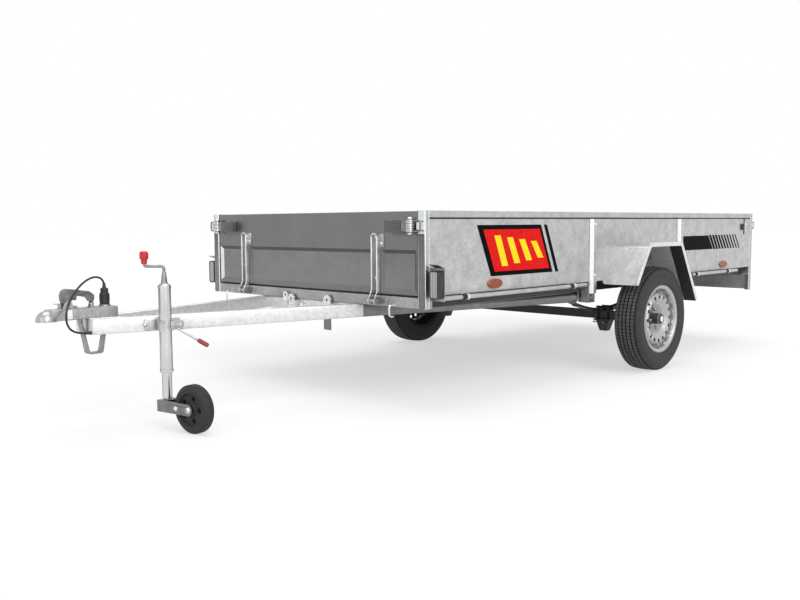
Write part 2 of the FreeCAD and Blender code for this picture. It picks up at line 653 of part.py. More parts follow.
def rounded_lamp(x0, x1):
    """A block with rounded corners, as wide and as high as the front lamp."""
    block = box(x0, x1, lamp_inner, lamp_outer, LAMP_BOTTOM_Z, lamp_top)
    corners = [edge for edge in block.Edges if abs(edge.tangentAt(edge.FirstParameter).x) > 0.9]
    return block.makeFillet(LAMP_CORNER, corners)


bracket_top = lamp_top + LAMP_CORNER
bracket = box(lamp_back - WALL, lamp_back, SHEET_Y, lamp_outer + WALL, LAMP_BOTTOM_Z - LAMP_CORNER,
              bracket_top)
hood_front = lamp_x + WALL
hood = slab_xz(((lamp_back - WALL, bracket_top), (hood_front, bracket_top + HOOD_RISE - LAMP_CORNER),
                (hood_front, bracket_top + HOOD_RISE - LAMP_CORNER - WALL), (lamp_back, bracket_top - WALL)),
               lamp_inner, lamp_outer + WALL)
add("front_lamps", both_sides(rounded_lamp(lamp_back, lens_back)))
add("front_lamp_lenses", both_sides(rounded_lamp(lens_back, lamp_x)))
add("front_lamp_brackets", both_sides(fused(bracket, hood)))

# Oval amber reflectors on the side sheets
markers = []
for station in (MARKER_FRONT, MARKER_REAR):
    ellipse = Part.Ellipse(Vector(0, 0, 0), MARKER_HALF_LENGTH, MARKER_HALF_HEIGHT).toShape()
    face = Part.Face(Part.Wire(ellipse))
    face.rotate(Vector(0, 0, 0), Vector(1, 0, 0), 90)
    face.translate(Vector(FRONT_X - station, SHEET_Y, MARKER_Z))
    marker = face.extrude(Vector(0, MARKER_PROUD, 0))
    marker_rim = [edge for edge in marker.Edges if edge.BoundBox.YMin > SHEET_Y + MARKER_PROUD / 2]
    markers.append(marker.makeChamfer(MARKER_CHAMFER, marker_rim))
add("side_markers", Part.makeCompound(markers + [mirrored(m) for m in markers]))

# Tarpaulin rails: round bars held by lugs under the foot of the side sheets
tarp_bars = []
tarp_lugs = []
tarp_y = SHEET_Y + TARP_RAIL_PROUD
for (start, end), lug_stations in zip(TARP_RAIL_SPANS, TARP_LUG_STATIONS):
    bar = rod((FRONT_X - start, tarp_y, TARP_RAIL_Z), (FRONT_X - end, tarp_y, TARP_RAIL_Z), TARP_RAIL_R)
    tarp_bars.append(bar)
    for station in lug_stations:
        at_x = FRONT_X - station
        plate = box(at_x - TARP_LUG_THICK / 2, at_x + TARP_LUG_THICK / 2, INNER_Y + TARP_LUG_ROOT, tarp_y,
                    TARP_RAIL_Z - TARP_RAIL_R, SIDE_BOTTOM_Z)
        collar = rod((at_x - COLLAR_LENGTH / 2, tarp_y, TARP_RAIL_Z),
                     (at_x + COLLAR_LENGTH / 2, tarp_y, TARP_RAIL_Z), TARP_RAIL_R + COLLAR_WALL)
        tarp_lugs.append(fused(plate, collar).cut(bar))
add("tarp_rails", Part.makeCompound(tarp_bars + [mirrored(piece) for piece in tarp_bars]))
add("tarp_rail_lugs", Part.makeCompound(tarp_lugs + [mirrored(piece) for piece in tarp_lugs]))

# Mudguards: three folded faces over each wheel with a lip down their outer edge
guard_line = ((GUARD_FRONT_OUT, GUARD_FRONT_Z), (GUARD_TOP_HALF, GUARD_TOP_Z),
              (-GUARD_TOP_HALF, GUARD_TOP_Z), (-GUARD_REAR_OUT, GUARD_REAR_Z))


def offset_line(points, distance):
    """The same folded line moved inwards by a distance."""
    moved = []
    for index, (x, z) in enumerate(points):
        normals = []
        for a, b in ((index - 1, index), (index, index + 1)):
            if a < 0 or b >= len(points):
                continue
            dx = points[b][0] - points[a][0]
            dz = points[b][1] - points[a][1]
            length = math.hypot(dx, dz)
            normals.append((dz / length, -dx / length))
        nx = sum(n[0] for n in normals)
        nz = sum(n[1] for n in normals)
        size = math.hypot(nx, nz)
        nx, nz = nx / size, nz / size
        scale = distance / (nx * normals[0][0] + nz * normals[0][1])
        moved.append((x - nx * scale, z - nz * scale))
    return moved


def guard_strip(depth, y0, y1):
    """A strip of the guard between two values of y, with its two bends rounded."""
    inner = offset_line(guard_line, -depth)
    outline = list(guard_line) + inner[::-1]
    outer_bend = GUARD_BEND
    inner_bend = GUARD_BEND - depth
    return slab_xz([(AXLE_X + x, z) for x, z in outline], y0, y1,
                   [0, outer_bend, outer_bend, 0, 0, inner_bend, inner_bend, 0])


guard = fused(guard_strip(GUARD_SHEET, SHEET_Y, SHEET_Y + GUARD_WIDTH),
              guard_strip(GUARD_LIP, SHEET_Y + GUARD_WIDTH - GUARD_SHEET, SHEET_Y + GUARD_WIDTH),
              guard_strip(GUARD_LIP, SHEET_Y, SHEET_Y + GUARD_SHEET))
add("mudguards", both_sides(guard))

# Axle: square beam with a turned stub at each end
beam_bottom = AXLE_Z - AXLE_BEAM / 2
beam_top = AXLE_Z + AXLE_BEAM / 2
beam_end = WHEEL_Y - RIM_WIDTH / 2 - MOVE_GAP
beam = box(AXLE_X - AXLE_BEAM / 2, AXLE_X + AXLE_BEAM / 2, -beam_end, beam_end, beam_bottom, beam_top)
stub_end = WHEEL_Y + HUB_BORE_END - PIN_END_GAP
stub_bar = rod((AXLE_X, -stub_end, AXLE_Z), (AXLE_X, stub_end, AXLE_Z), STUB_R)
add("axle_beam", fused(beam, stub_bar))

# Spring clamps: a plate and tongue under the axle, four studs and two bars over each spring
clamp_plate = box(AXLE_X - CLAMP_PLATE_HALF, AXLE_X + CLAMP_PLATE_HALF, SPRING_Y - CLAMP_PLATE_HALF_W,
                  SPRING_Y + CLAMP_PLATE_HALF_W, beam_bottom - CLAMP_PLATE, beam_bottom)
tongue_rings = []
for z, (half_x, half_y) in zip((beam_bottom - CLAMP_PLATE, CLAMP_PLATE_Z), CLAMP_TONGUE):
    corners = [Vector(AXLE_X + sx * half_x, SPRING_Y + sy * half_y, z)
               for sx, sy in ((-1, -1), (1, -1), (1, 1), (-1, 1), (-1, -1))]
    tongue_rings.append(Part.makePolygon(corners))
clamp_parts = [Part.makeLoft(tongue_rings, True, True)]
saddle_z = beam_top + SPRING_LEAVES * SPRING_LEAF + SPRING_GAP
stud_y = SPRING_WIDTH / 2 + SPRING_GAP + STUD_R
stud_x = AXLE_BEAM / 2 + STUD_R + STUD_GAP
for dx in (-stud_x, stud_x):
    for dy in (-stud_y, stud_y):
        clamp_parts.append(rod((AXLE_X + dx, SPRING_Y + dy, beam_bottom - CLAMP_PLATE - STUD_TAIL),
                               (AXLE_X + dx, SPRING_Y + dy, saddle_z + SADDLE_HEIGHT / 2), STUD_R))
    clamp_parts.append(box(AXLE_X + dx - STUD_R, AXLE_X + dx + STUD_R, SPRING_Y - stud_y - STUD_R,
                           SPRING_Y + stud_y + STUD_R, saddle_z, saddle_z + SADDLE_HEIGHT))
add("axle_clamps", both_sides(fused(clamp_plate, *clamp_parts)))


# Leaf springs: three leaves bowed down onto the axle, with an eye at each end
def leaf(level, half):
    """One leaf of the pack, a bow between two points at the same height."""
    full_rise = PIVOT_Z - SPRING_EYE_R - beam_top - (SPRING_LEAVES - 1) * SPRING_LEAF
    low = beam_top + level * SPRING_LEAF
    rise = full_rise * (half / SPRING_HALF) ** 2
    lower = [Vector(AXLE_X - half, 0, low + rise), Vector(AXLE_X, 0, low),
             Vector(AXLE_X + half, 0, low + rise)]
    upper = [p + Vector(0, 0, SPRING_LEAF) for p in lower]
    edges = [Part.Arc(*lower).toShape(), Part.LineSegment(lower[2], upper[2]).toShape(),
             Part.Arc(*upper).toShape(), Part.LineSegment(upper[0], lower[0]).toShape()]
    face = Part.Face(Part.Wire(edges))
    face.translate(Vector(0, SPRING_Y - SPRING_WIDTH / 2, 0))
    return face.extrude(Vector(0, SPRING_WIDTH, 0))


spring = [leaf(SPRING_LEAVES - 1 - index, SPRING_HALF * share) for index, share in enumerate(LEAF_SHARES)]
bores = []
for eye_x in (AXLE_X - SPRING_HALF, AXLE_X + SPRING_HALF):
    spring.append(rod((eye_x, SPRING_Y - SPRING_WIDTH / 2, PIVOT_Z),
                      (eye_x, SPRING_Y + SPRING_WIDTH / 2, PIVOT_Z), SPRING_EYE_R))
    bores.append(rod((eye_x, SPRING_Y - SPRING_WIDTH, PIVOT_Z), (eye_x, SPRING_Y + SPRING_WIDTH, PIVOT_Z),
                     TIP_BOLT_R + PIN_GAP))
add("leaf_springs", both_sides(fused(*spring).cut(Part.makeCompound(bores))))


# Hangers: cheeks under the frame that carry the spring eyes, and the tip pivot's bolt in front
def cheek(middle, y0):
    """One plate of a hanger, wide where it meets the frame."""
    foot_z = PIVOT_Z - LUG_FOOT_HALF
    return slab_xz(((middle - LUG_TOP_HALF, FRAME_BOTTOM_Z), (middle + LUG_TOP_HALF, FRAME_BOTTOM_Z),
                    (middle + LUG_FOOT_HALF, foot_z), (middle - LUG_FOOT_HALF, foot_z)), y0, y0 + LUG_THICK)


spring_inner = SPRING_Y - SPRING_WIDTH / 2 - SPRING_GAP - LUG_THICK
spring_outer = SPRING_Y + SPRING_WIDTH / 2 + SPRING_GAP
bush_outer = BUSH_Y + BUSH_LENGTH / 2 + LUG_GAP
tip_bolt = rod((PIVOT_X, spring_inner - BOLT_HEAD, PIVOT_Z), (PIVOT_X, SHEET_Y + BOLT_HEAD, PIVOT_Z),
               TIP_BOLT_R)
tip_head = rod((PIVOT_X, SHEET_Y, PIVOT_Z), (PIVOT_X, SHEET_Y + BOLT_HEAD, PIVOT_Z), BOLT_HEAD_R)
front_cheeks = [cheek(PIVOT_X, y0) for y0 in (spring_inner, spring_outer, bush_outer)]
bracket_face = box(PIVOT_X - BRACKET_HALF, PIVOT_X + BRACKET_HALF, SHEET_Y - BRACKET_SHEET, SHEET_Y,
                   BRACKET_FOOT_Z, SIDE_BOTTOM_Z)
bracket_webs = [box(PIVOT_X + side * (BRACKET_HALF - BRACKET_SHEET), PIVOT_X + side * BRACKET_HALF,
                    MEMBER_Y, SHEET_Y, BRACKET_FOOT_Z, FRAME_TOP_Z) for side in (-1, 1)]
add("tip_pivot_lugs", both_sides(fused(tip_bolt, tip_head, bracket_face, *front_cheeks, *bracket_webs)))
rear_eye_x = AXLE_X - SPRING_HALF
rear_bolt = rod((rear_eye_x, spring_inner - BOLT_HEAD, PIVOT_Z),
                (rear_eye_x, spring_outer + LUG_THICK + BOLT_HEAD, PIVOT_Z), TIP_BOLT_R)
rear_cheeks = [cheek(rear_eye_x, y0) for y0 in (spring_inner, spring_outer)]
add("spring_hangers", both_sides(fused(rear_bolt, *rear_cheeks)))

# Drawbar arms: square tubes that splay back under the box to the tip pivots
arm_front_x = FRONT_X + ARM_FRONT
arm_rear_x = PIVOT_X + 8.0
half_skew = ARM_WIDTH / 2 * math.hypot(1.0, ARM_SPLAY)


def arm_block(half_width, z0, z1, front, rear):
    """A bar along the left arm's line, square to the trailer at both ends."""
    outline = ((front, arm_y(front) - half_width), (front, arm_y(front) + half_width),
               (rear, arm_y(rear) + half_width), (rear, arm_y(rear) - half_width))
    return slab_xy(outline, z0, z1)


arm_bottom = ARM_TOP_Z - ARM_HEIGHT
arm = arm_block(half_skew, arm_bottom, ARM_TOP_Z, arm_front_x, arm_rear_x)
hollow = arm_block(half_skew - ARM_WALL, arm_bottom + ARM_WALL, ARM_TOP_Z - ARM_WALL,
                   arm_front_x - ARM_WALL, arm_rear_x + 30.0)
bush = rod((PIVOT_X, BUSH_Y - BUSH_LENGTH / 2, PIVOT_Z), (PIVOT_X, BUSH_Y + BUSH_LENGTH / 2, PIVOT_Z), BUSH_R)
bush_bore = rod((PIVOT_X, BUSH_Y - BUSH_LENGTH, PIVOT_Z), (PIVOT_X, BUSH_Y + BUSH_LENGTH, PIVOT_Z),
                TIP_BOLT_R + PIN_GAP)
arm = fused(arm.cut(hollow), bush).cut(bush_bore)
add_pair("drawbar_arm", arm)
tube_front = FRONT_X - CROSS_TUBE_STATION
tube_rear = tube_front - CROSS_TUBE_DEPTH
reach_front = arm_y(tube_front) - half_skew
reach_rear = arm_y(tube_rear) - half_skew
cross = slab_xy(((tube_front, -reach_front), (tube_front, reach_front), (tube_rear, reach_rear),
                 (tube_rear, -reach_rear)), arm_bottom, ARM_TOP_Z)
add("drawbar_cross_tube", cross)

# Tip latches: round-topped plates on the cross tube that stand up in front of the front crossmember
latches = []
for y, width, foot_z, top_z in TIP_PLATES:
    plate_x = FRONT_X + MOVE_GAP
    round_z = top_z - width / 2
    plate = fused(box(plate_x, plate_x + TIP_PLATE_SHEET, y - width / 2, y + width / 2, foot_z, round_z),
                  rod((plate_x, y, round_z), (plate_x + TIP_PLATE_SHEET, y, round_z), width / 2))
    hole = rod((plate_x - 1, y, round_z), (plate_x + TIP_PLATE_SHEET + 1, y, round_z), TIP_HOLE_R)
    foot_half = width / 2 - TIP_FOOT_TRIM
    foot = box(tube_front, plate_x, y - foot_half, y + foot_half, TIP_FOOT_Z[0], TIP_FOOT_Z[1])
    latches.append(fused(plate.cut(hole), foot))
add("tip_latches", Part.makeCompound(latches))

# Eye bolt on the cross tube
eye_z = (arm_bottom + ARM_TOP_Z) / 2
shank = rod((tube_front, 0, eye_z), (tube_front + EYE_REACH, 0, eye_z), EYE_BOLT_R)
ring_centre = Vector(tube_front + EYE_REACH + EYE_RING_R, 0, eye_z)
ring = Part.makeTorus(EYE_RING_R, EYE_BOLT_R, ring_centre, Vector(0, 1, 0))
add("drawbar_eye_bolt", fused(shank, ring))

# Rope hooks: bent bars under the ends of the front crossmember
hook_top = FRAME_BOTTOM_Z + HOOK_ROOT
hook_x = FRONT_X - WALL
hook_y = HALF_W - HOOK_INSET
hook = bent_bar(((hook_x, hook_y, hook_top), (hook_x + HOOK_REACH, hook_y, hook_top),
                 (hook_x + HOOK_REACH, hook_y, hook_top - HOOK_DROP),
                 (hook_x + HOOK_REACH / 2, hook_y, hook_top - HOOK_DROP)), HOOK_R, HOOK_BEND)
add("rope_hooks", both_sides(hook))

# Coupling: seat on the arms, pressed channel and ball cup
def inner_face(x):
    """Where the arms' inner faces are, at a place along the trailer."""
    return arm_y(x) - half_skew


head_front = FRONT_X + ARM_FRONT - HEAD_INSET
head_rear = FRONT_X + SEAT_REAR
head = slab_xy(((head_front, -inner_face(head_front)), (head_front, inner_face(head_front)),
                (head_rear, inner_face(head_rear)), (head_rear, -inner_face(head_rear))),
               arm_bottom, ARM_TOP_Z)
add("drawbar_head", head)
plug_x = FRONT_X + PLUG_STATION
plug_base = COUPLING_TOP_Z + PLUG_RING
holder = rod((plug_x, 0, COUPLING_TOP_Z), (plug_x, 0, plug_base), PLUG_RING_R)
seat_half = COUPLING_HALF_W + SEAT_OVERHANG
seat_block = box(FRONT_X + SEAT_REAR, FRONT_X + COUPLING_REAR, -seat_half, seat_half,
                 ARM_TOP_Z, COUPLING_TOP_Z)
seat_tongue = box(FRONT_X + COUPLING_REAR, FRONT_X + SEAT_FRONT, -COUPLING_HALF_W + COUPLING_WALL,
                  COUPLING_HALF_W - COUPLING_WALL, ARM_TOP_Z, COUPLING_TOP_Z - COUPLING_WALL)
add("coupling_seat", fused(seat_block, seat_tongue, holder))
channel_outer = box(FRONT_X + COUPLING_REAR, FRONT_X + BALL_STATION - COUPLING_NECK,
                    -COUPLING_HALF_W, COUPLING_HALF_W, ARM_TOP_Z, COUPLING_TOP_Z)
channel_inner = box(FRONT_X + COUPLING_REAR, FRONT_X + SEAT_FRONT, -COUPLING_HALF_W + COUPLING_WALL,
                    COUPLING_HALF_W - COUPLING_WALL, ARM_TOP_Z, COUPLING_TOP_Z - COUPLING_WALL)
ball_x = FRONT_X + BALL_STATION


def domed(x, radius, low_z, centre_z):
    """An upright cylinder with a half ball on top, its bottom at low_z."""
    slant = radius * math.sqrt(0.5)
    foot = Vector(x, 0, low_z)
    rim_point = Vector(x + radius, 0, low_z)
    shoulder = Vector(x + radius, 0, centre_z)
    crown = Vector(x, 0, centre_z + radius)
    edges = [Part.LineSegment(foot, rim_point).toShape(), Part.LineSegment(rim_point, shoulder).toShape(),
             Part.Arc(shoulder, Vector(x + slant, 0, centre_z + slant), crown).toShape(),
             Part.LineSegment(crown, foot).toShape()]
    return Part.Face(Part.Wire(edges)).revolve(foot, Vector(0, 0, 1), 360)


cup = domed(ball_x, CUP_R, CUP_BOTTOM_Z, CUP_CENTRE_Z)
socket = domed(ball_x, BALL_R + BALL_GAP, CUP_BOTTOM_Z - 1, BALL_Z)
ears = []
ear_line = ((EAR_FOOT[0], COUPLING_TOP_Z), (EAR_FOOT[1], COUPLING_TOP_Z), (EAR_TOP[1], EAR_TOP_Z),
            (EAR_TOP[0], EAR_TOP_Z))
for y0 in (-HANDLE_HALF_W - EAR_GAP - COUPLING_WALL, HANDLE_HALF_W + EAR_GAP):
    ears.append(slab_xz([(FRONT_X + x, z) for x, z in ear_line], y0, y0 + COUPLING_WALL))
pin_end = HANDLE_HALF_W + HANDLE_PIN_HEAD
handle_pin = rod((FRONT_X + HANDLE_PIVOT[0], -pin_end, HANDLE_PIVOT[1]),
                 (FRONT_X + HANDLE_PIVOT[0], pin_end, HANDLE_PIVOT[1]), HANDLE_PIN_R)
coupling = channel_outer.cut(channel_inner)
coupling = fused(coupling, cup, *ears).cut(socket)
coupling = fused(coupling, handle_pin)
add("coupling_body", coupling)

# Coupling handle: pressed grip pivoted between the coupling's ears
handle_bends = [HANDLE_BEND] * len(HANDLE_OUTLINE)
handle = slab_xz([(FRONT_X + x, z) for x, z in HANDLE_OUTLINE], -HANDLE_HALF_W, HANDLE_HALF_W, handle_bends)
handle = handle.cut(rod((FRONT_X + HANDLE_PIVOT[0], -pin_end, HANDLE_PIVOT[1]),
                        (FRONT_X + HANDLE_PIVOT[0], pin_end, HANDLE_PIVOT[1]), HANDLE_PIN_R + PIN_GAP))
add("coupling_handle", handle)

# Parking foot: a bent flat bar, its front leg up to the coupling's seat and its rear leg to the head
foot_outline = ((FOOT_TOP[1], ARM_TOP_Z), (FOOT_BOTTOM[1], FOOT_BOTTOM_Z), (FOOT_BOTTOM[0], FOOT_BOTTOM_Z),
                (FOOT_TOP[0], arm_bottom), (FOOT_TOP[0] + FOOT_SHEET, arm_bottom),
                (FOOT_BOTTOM[0] + FOOT_SHEET, FOOT_BOTTOM_Z + FOOT_SHEET),
                (FOOT_BOTTOM[1] - FOOT_SHEET, FOOT_BOTTOM_Z + FOOT_SHEET),
                (FOOT_TOP[1] - FOOT_SHEET, ARM_TOP_Z))
inner_bend = FOOT_BEND - FOOT_SHEET
add("parking_foot", slab_xz([(FRONT_X + x, z) for x, z in foot_outline], -FOOT_HALF_W, FOOT_HALF_W,
                            [0, FOOT_BEND, FOOT_BEND, 0, 0, inner_bend, inner_bend, 0]))

# Plug parked on the coupling's seat, and its lead down into the left arm's end
plug = turned(PLUG_OUTLINE, Vector(plug_x, 0, plug_base), Vector(0, 0, 1))
add("plug", plug)
plug_top = plug_base + PLUG_OUTLINE[-1][0]
lead_points = ((PLUG_STATION, 0, plug_top), (PLUG_STATION, 0, 574), (1028, 4, 592), (1052, 11, 602),
               (1084, 22, 599), (1118, 31, 583), (1149, 40, 558), (1176, 49, 528), (1196, 58, 494),
               (1205, 64, 461), (1202, 66, 430), (1183, 62, 405), (1140, ARM_FRONT_Y, LEAD_Z),
               (ARM_FRONT, ARM_FRONT_Y, LEAD_Z))
route = [Vector(FRONT_X + x, y, z) for x, y, z in lead_points]
radii = []
for index in range(1, len(route) - 1):
    back = route[index - 1] - route[index]
    ahead = route[index + 1] - route[index]
    turn = math.pi - back.getAngle(ahead)
    radii.append(0.45 * min(back.Length, ahead.Length) / math.tan(turn / 2.0))
print("lead arcs", [round(r) for r in radii])
cable = bent_bar(route, CABLE_R, radii)
print("lead length", round(cable.Volume / (math.pi * CABLE_R ** 2)))
add("cable", cable)

# Jockey clamp: a split band round the tube on a plate on the left arm, with its lever
arm_dir = Vector(-1.0, ARM_SPLAY, 0).normalize()
arm_out = Vector(ARM_SPLAY, 1.0, 0).normalize()
axis_point = Vector(JOCKEY_X, JOCKEY_Y, 0)
face_point = Vector(JOCKEY_X, arm_y(JOCKEY_X), 0) + arm_out * (ARM_WIDTH / 2)
stand_off = (axis_point - face_point).dot(arm_out)
band = rod((JOCKEY_X, JOCKEY_Y, CLAMP_BOTTOM_Z), (JOCKEY_X, JOCKEY_Y, CLAMP_TOP_Z),
           TUBE_R + SEAT_GAP + CLAMP_WALL)
foot_a = axis_point - arm_out * stand_off + arm_dir * CLAMP_PAD_HALF
foot_b = axis_point - arm_out * stand_off - arm_dir * CLAMP_PAD_HALF
near_a = foot_a + arm_out * CLAMP_PAD
near_b = foot_b + arm_out * CLAMP_PAD
plate = slab_xy([(p.x, p.y) for p in (foot_a, foot_b, near_b, near_a)], CLAMP_BOTTOM_Z - CLAMP_PAD_RISE,
                CLAMP_TOP_Z + CLAMP_PAD_RISE)
neck_root = axis_point - arm_out * (stand_off - CLAMP_BITE)
neck_a = neck_root + arm_dir * CLAMP_NECK_HALF
neck_b = neck_root - arm_dir * CLAMP_NECK_HALF
neck_c = axis_point - arm_dir * CLAMP_NECK_HALF
neck_d = axis_point + arm_dir * CLAMP_NECK_HALF
neck = slab_xy([(p.x, p.y) for p in (neck_a, neck_b, neck_c, neck_d)], CLAMP_BOTTOM_Z, CLAMP_TOP_Z)
bore = rod((JOCKEY_X, JOCKEY_Y, CLAMP_BOTTOM_Z - CLAMP_WALL), (JOCKEY_X, JOCKEY_Y, CLAMP_TOP_Z + CLAMP_WALL),
           TUBE_R + SEAT_GAP)
lever_start = axis_point + Vector(*LEVER_START)
lever_end = axis_point + Vector(*LEVER_END)
lever = rod(lever_start, lever_end, LEVER_R)
clamp = fused(band, plate, neck, lever).cut(bore)
add("jockey_clamp", clamp)
grip_end = lever_end + (lever_end - lever_start).normalize() * GRIP_LENGTH
grip = rod(lever_end, grip_end, GRIP_R)
add("clamp_grip", grip.makeFillet(GRIP_ROUND, [edge for edge in grip.Edges if edge.isClosed()]))

# Jockey post: the outer tube that slides in the clamp, with its cap
post = rod((JOCKEY_X, JOCKEY_Y, TUBE_BOTTOM_Z), (JOCKEY_X, JOCKEY_Y, TUBE_TOP_Z - CAP_HEIGHT / 2), TUBE_R)
tube_hollow = rod((JOCKEY_X, JOCKEY_Y, TUBE_BOTTOM_Z - 1), (JOCKEY_X, JOCKEY_Y, TUBE_TOP_Z - TUBE_ROOF),
                  LEG_R + POST_WALL_GAP)
post = post.cut(tube_hollow)
cap_r = TUBE_R + CAP_LIP
cap_outline = ((0, 0), (0, cap_r), (CAP_EDGE, cap_r), (CAP_HEIGHT, CAP_TOP_R), (CAP_HEIGHT, 0))
cap = turned(cap_outline, Vector(JOCKEY_X, JOCKEY_Y, TUBE_TOP_Z - CAP_HEIGHT), Vector(0, 0, 1))
post = fused(post, cap.cut(tube_hollow))
add("jockey_post", post)

# Crank: a cone over the screw, a bent arm and a red knob
crank_dir = Vector(math.cos(math.radians(CRANK_ANGLE)), math.sin(math.radians(CRANK_ANGLE)), 0)
crank_base = TUBE_TOP_Z + SEAT_GAP
elbow = Vector(JOCKEY_X, JOCKEY_Y, CRANK_TOP_Z)
arm_end = elbow + crank_dir * CRANK_ARM
top = arm_end + Vector(0, 0, CRANK_RISE)
crank_foot = Vector(JOCKEY_X, JOCKEY_Y, crank_base + CONE_HEIGHT / 2)
crank_bar = bent_bar((crank_foot, elbow, arm_end, top), CRANK_R, CRANK_BEND)
cone = Part.makeCone(CONE_FOOT_R, CONE_TOP_R, CONE_HEIGHT, Vector(JOCKEY_X, JOCKEY_Y, crank_base),
                     Vector(0, 0, 1))
add("jockey_crank", fused(cone, crank_bar))
knob_z = arm_end.z + KNOB_START
rod_end = top.z - knob_z
knob = turned(((0, CRANK_R),) + KNOB_OUTLINE + ((KNOB_HEIGHT, 0), (rod_end, 0), (rod_end, CRANK_R)),
              Vector(arm_end.x, arm_end.y, knob_z), Vector(0, 0, 1))
add("crank_knob", knob)

# Jockey leg: the inner tube, and the swivelling fork with its wheel
trail_dir = Vector(math.cos(math.radians(TRAIL_ANGLE)), math.sin(math.radians(TRAIL_ANGLE)), 0)
axle_dir = Vector(trail_dir.y, -trail_dir.x, 0)
fork_top = JOCKEY_WHEEL_R + FORK_HEIGHT / 2
leg_foot = fork_top + LEG_FOOT
leg = rod((JOCKEY_X, JOCKEY_Y, leg_foot), (JOCKEY_X, JOCKEY_Y, TUBE_TOP_Z - LEG_TOP_DROP), LEG_R)
leg = fused(leg, rod((JOCKEY_X, JOCKEY_Y, fork_top - SWIVEL_DEPTH), (JOCKEY_X, JOCKEY_Y, leg_foot), SWIVEL_R))
add("jockey_leg", leg)
hub_point = axis_point + trail_dir * TRAIL
half_gap = JOCKEY_WHEEL_WIDTH / 2 + MOVE_GAP
plates = []
for side in (-1, 1):
    a = axis_point - trail_dir * FORK_HEAD_FRONT + axle_dir * side * half_gap
    b = hub_point + axle_dir * side * half_gap
    c = b + axle_dir * side * FORK_SHEET
    d = a + axle_dir * side * FORK_SHEET
    cheek = slab_xy([(p.x, p.y) for p in (a, b, c, d)], fork_top - FORK_HEIGHT, fork_top)
    end = rod((b.x, b.y, JOCKEY_WHEEL_R), (c.x, c.y, JOCKEY_WHEEL_R), FORK_HEIGHT / 2)
    plates.append(fused(cheek, end))
web_start = axis_point - trail_dir * FORK_HEAD_FRONT
web_end = axis_point + trail_dir * FORK_HEAD_REAR
web_corners = [web_start - axle_dir * half_gap, web_end - axle_dir * half_gap,
               web_end + axle_dir * half_gap, web_start + axle_dir * half_gap]
head = slab_xy([(p.x, p.y) for p in web_corners], fork_top - FORK_HEIGHT, fork_top)
pin_bore = rod((JOCKEY_X, JOCKEY_Y, fork_top - SWIVEL_DEPTH - 2 * SEAT_GAP),
               (JOCKEY_X, JOCKEY_Y, fork_top + 1), SWIVEL_R + PIN_GAP)
axle_reach = half_gap + FORK_SHEET + JOCKEY_AXLE_END
axle_a = hub_point - axle_dir * axle_reach
axle_b = hub_point + axle_dir * axle_reach
jockey_axle = rod((axle_a.x, axle_a.y, JOCKEY_WHEEL_R), (axle_b.x, axle_b.y, JOCKEY_WHEEL_R), JOCKEY_AXLE_R)
fork = fused(head, plates[0], plates[1], jockey_axle).cut(pin_bore)
add("jockey_fork", fork)
half = JOCKEY_WHEEL_WIDTH / 2
wheel_side = ((0, JOCKEY_AXLE_R + PIN_GAP),) + JOCKEY_WHEEL_OUTLINE
wheel_outline = [(inset - half, r) for inset, r in wheel_side]
wheel_outline += [(half - inset, r) for inset, r in wheel_side[::-1]]
wheel_middle = Vector(hub_point.x, hub_point.y, JOCKEY_WHEEL_R)
wheel = turned(wheel_outline, wheel_middle, axle_dir)
slots = []
for index in range(JOCKEY_SLOTS):
    angle = 2 * math.pi * index / JOCKEY_SLOTS
    spoke = trail_dir * math.cos(angle) + Vector(0, 0, math.sin(angle))
    spot = wheel_middle + spoke * JOCKEY_SLOT_CIRCLE
    slots.append(rod(spot - axle_dir * half, spot + axle_dir * half, JOCKEY_SLOT_R))
add("jockey_wheel", wheel.cut(Part.makeCompound(slots)))

# Road wheels: tyre, pressed steel rim and hub
centre = Vector(AXLE_X, WHEEL_Y, AXLE_Z)
across = Vector(0, 1, 0)
wide = TYRE_WIDTH / 2
rim_half = RIM_WIDTH / 2
bead_r = BEAD_R + SEAT_GAP
half_profile = [(rim_half - 8 - SEAT_GAP, bead_r), (rim_half - 4 - SEAT_GAP, RIM_R + SEAT_GAP),
                (rim_half + 1, RIM_R + 1)]
half_profile += [(wide - inset, TYRE_R - drop) for inset, drop in TYRE_SHOULDER]
inner_profile = [(wide - inset, TYRE_R - drop) for inset, drop in TYRE_CAVITY]
inner_profile.append((rim_half - 20, bead_r))
tyre_outline = [(-a, r) for a, r in half_profile] + [(a, r) for a, r in half_profile[::-1]]
tyre_outline += [(a, r) for a, r in inner_profile[::-1]] + [(-a, r) for a, r in inner_profile]
add_pair("tyre", turned(tyre_outline, centre, across))
barrel_outline = ((-rim_half, RIM_R), (-rim_half + 4, RIM_R), (-rim_half + 8, BEAD_R), (-30, BEAD_R - 2),
                  (-22, WELL_R), (10, WELL_R), (24, BEAD_R - 2), (rim_half - 8, BEAD_R),
                  (rim_half - 4, RIM_R), (rim_half, RIM_R), (rim_half, RIM_R - 5),
                  (rim_half - 4, BEAD_R - 5), (27, BEAD_R - 7),
                  (13, WELL_R - 5), (-25, WELL_R - 5), (-33, BEAD_R - 7), (-rim_half + 4, BEAD_R - 5),
                  (-rim_half, RIM_R - 5))
disc_outline = [(along + DISC_OFFSET, radius) for along, radius in DISC_OUTLINE]
rim = fused(turned(barrel_outline, centre, across), turned(disc_outline, centre, across))
holes = []
for index in range(WHEEL_HOLES):
    angle = 2 * math.pi * index / WHEEL_HOLES
    spot = centre + Vector(math.cos(angle), 0, math.sin(angle)) * WHEEL_HOLE_CIRCLE
    holes.append(rod(spot + across * DISC_OFFSET, spot + across * rim_half, WHEEL_HOLE_R))
rim = rim.cut(Part.makeCompound(holes))
add_pair("wheel_rim", rim)
hub_face = DISC_OFFSET + 4 - SEAT_GAP
cap_end = HUB_BORE_END + HUB_TIP
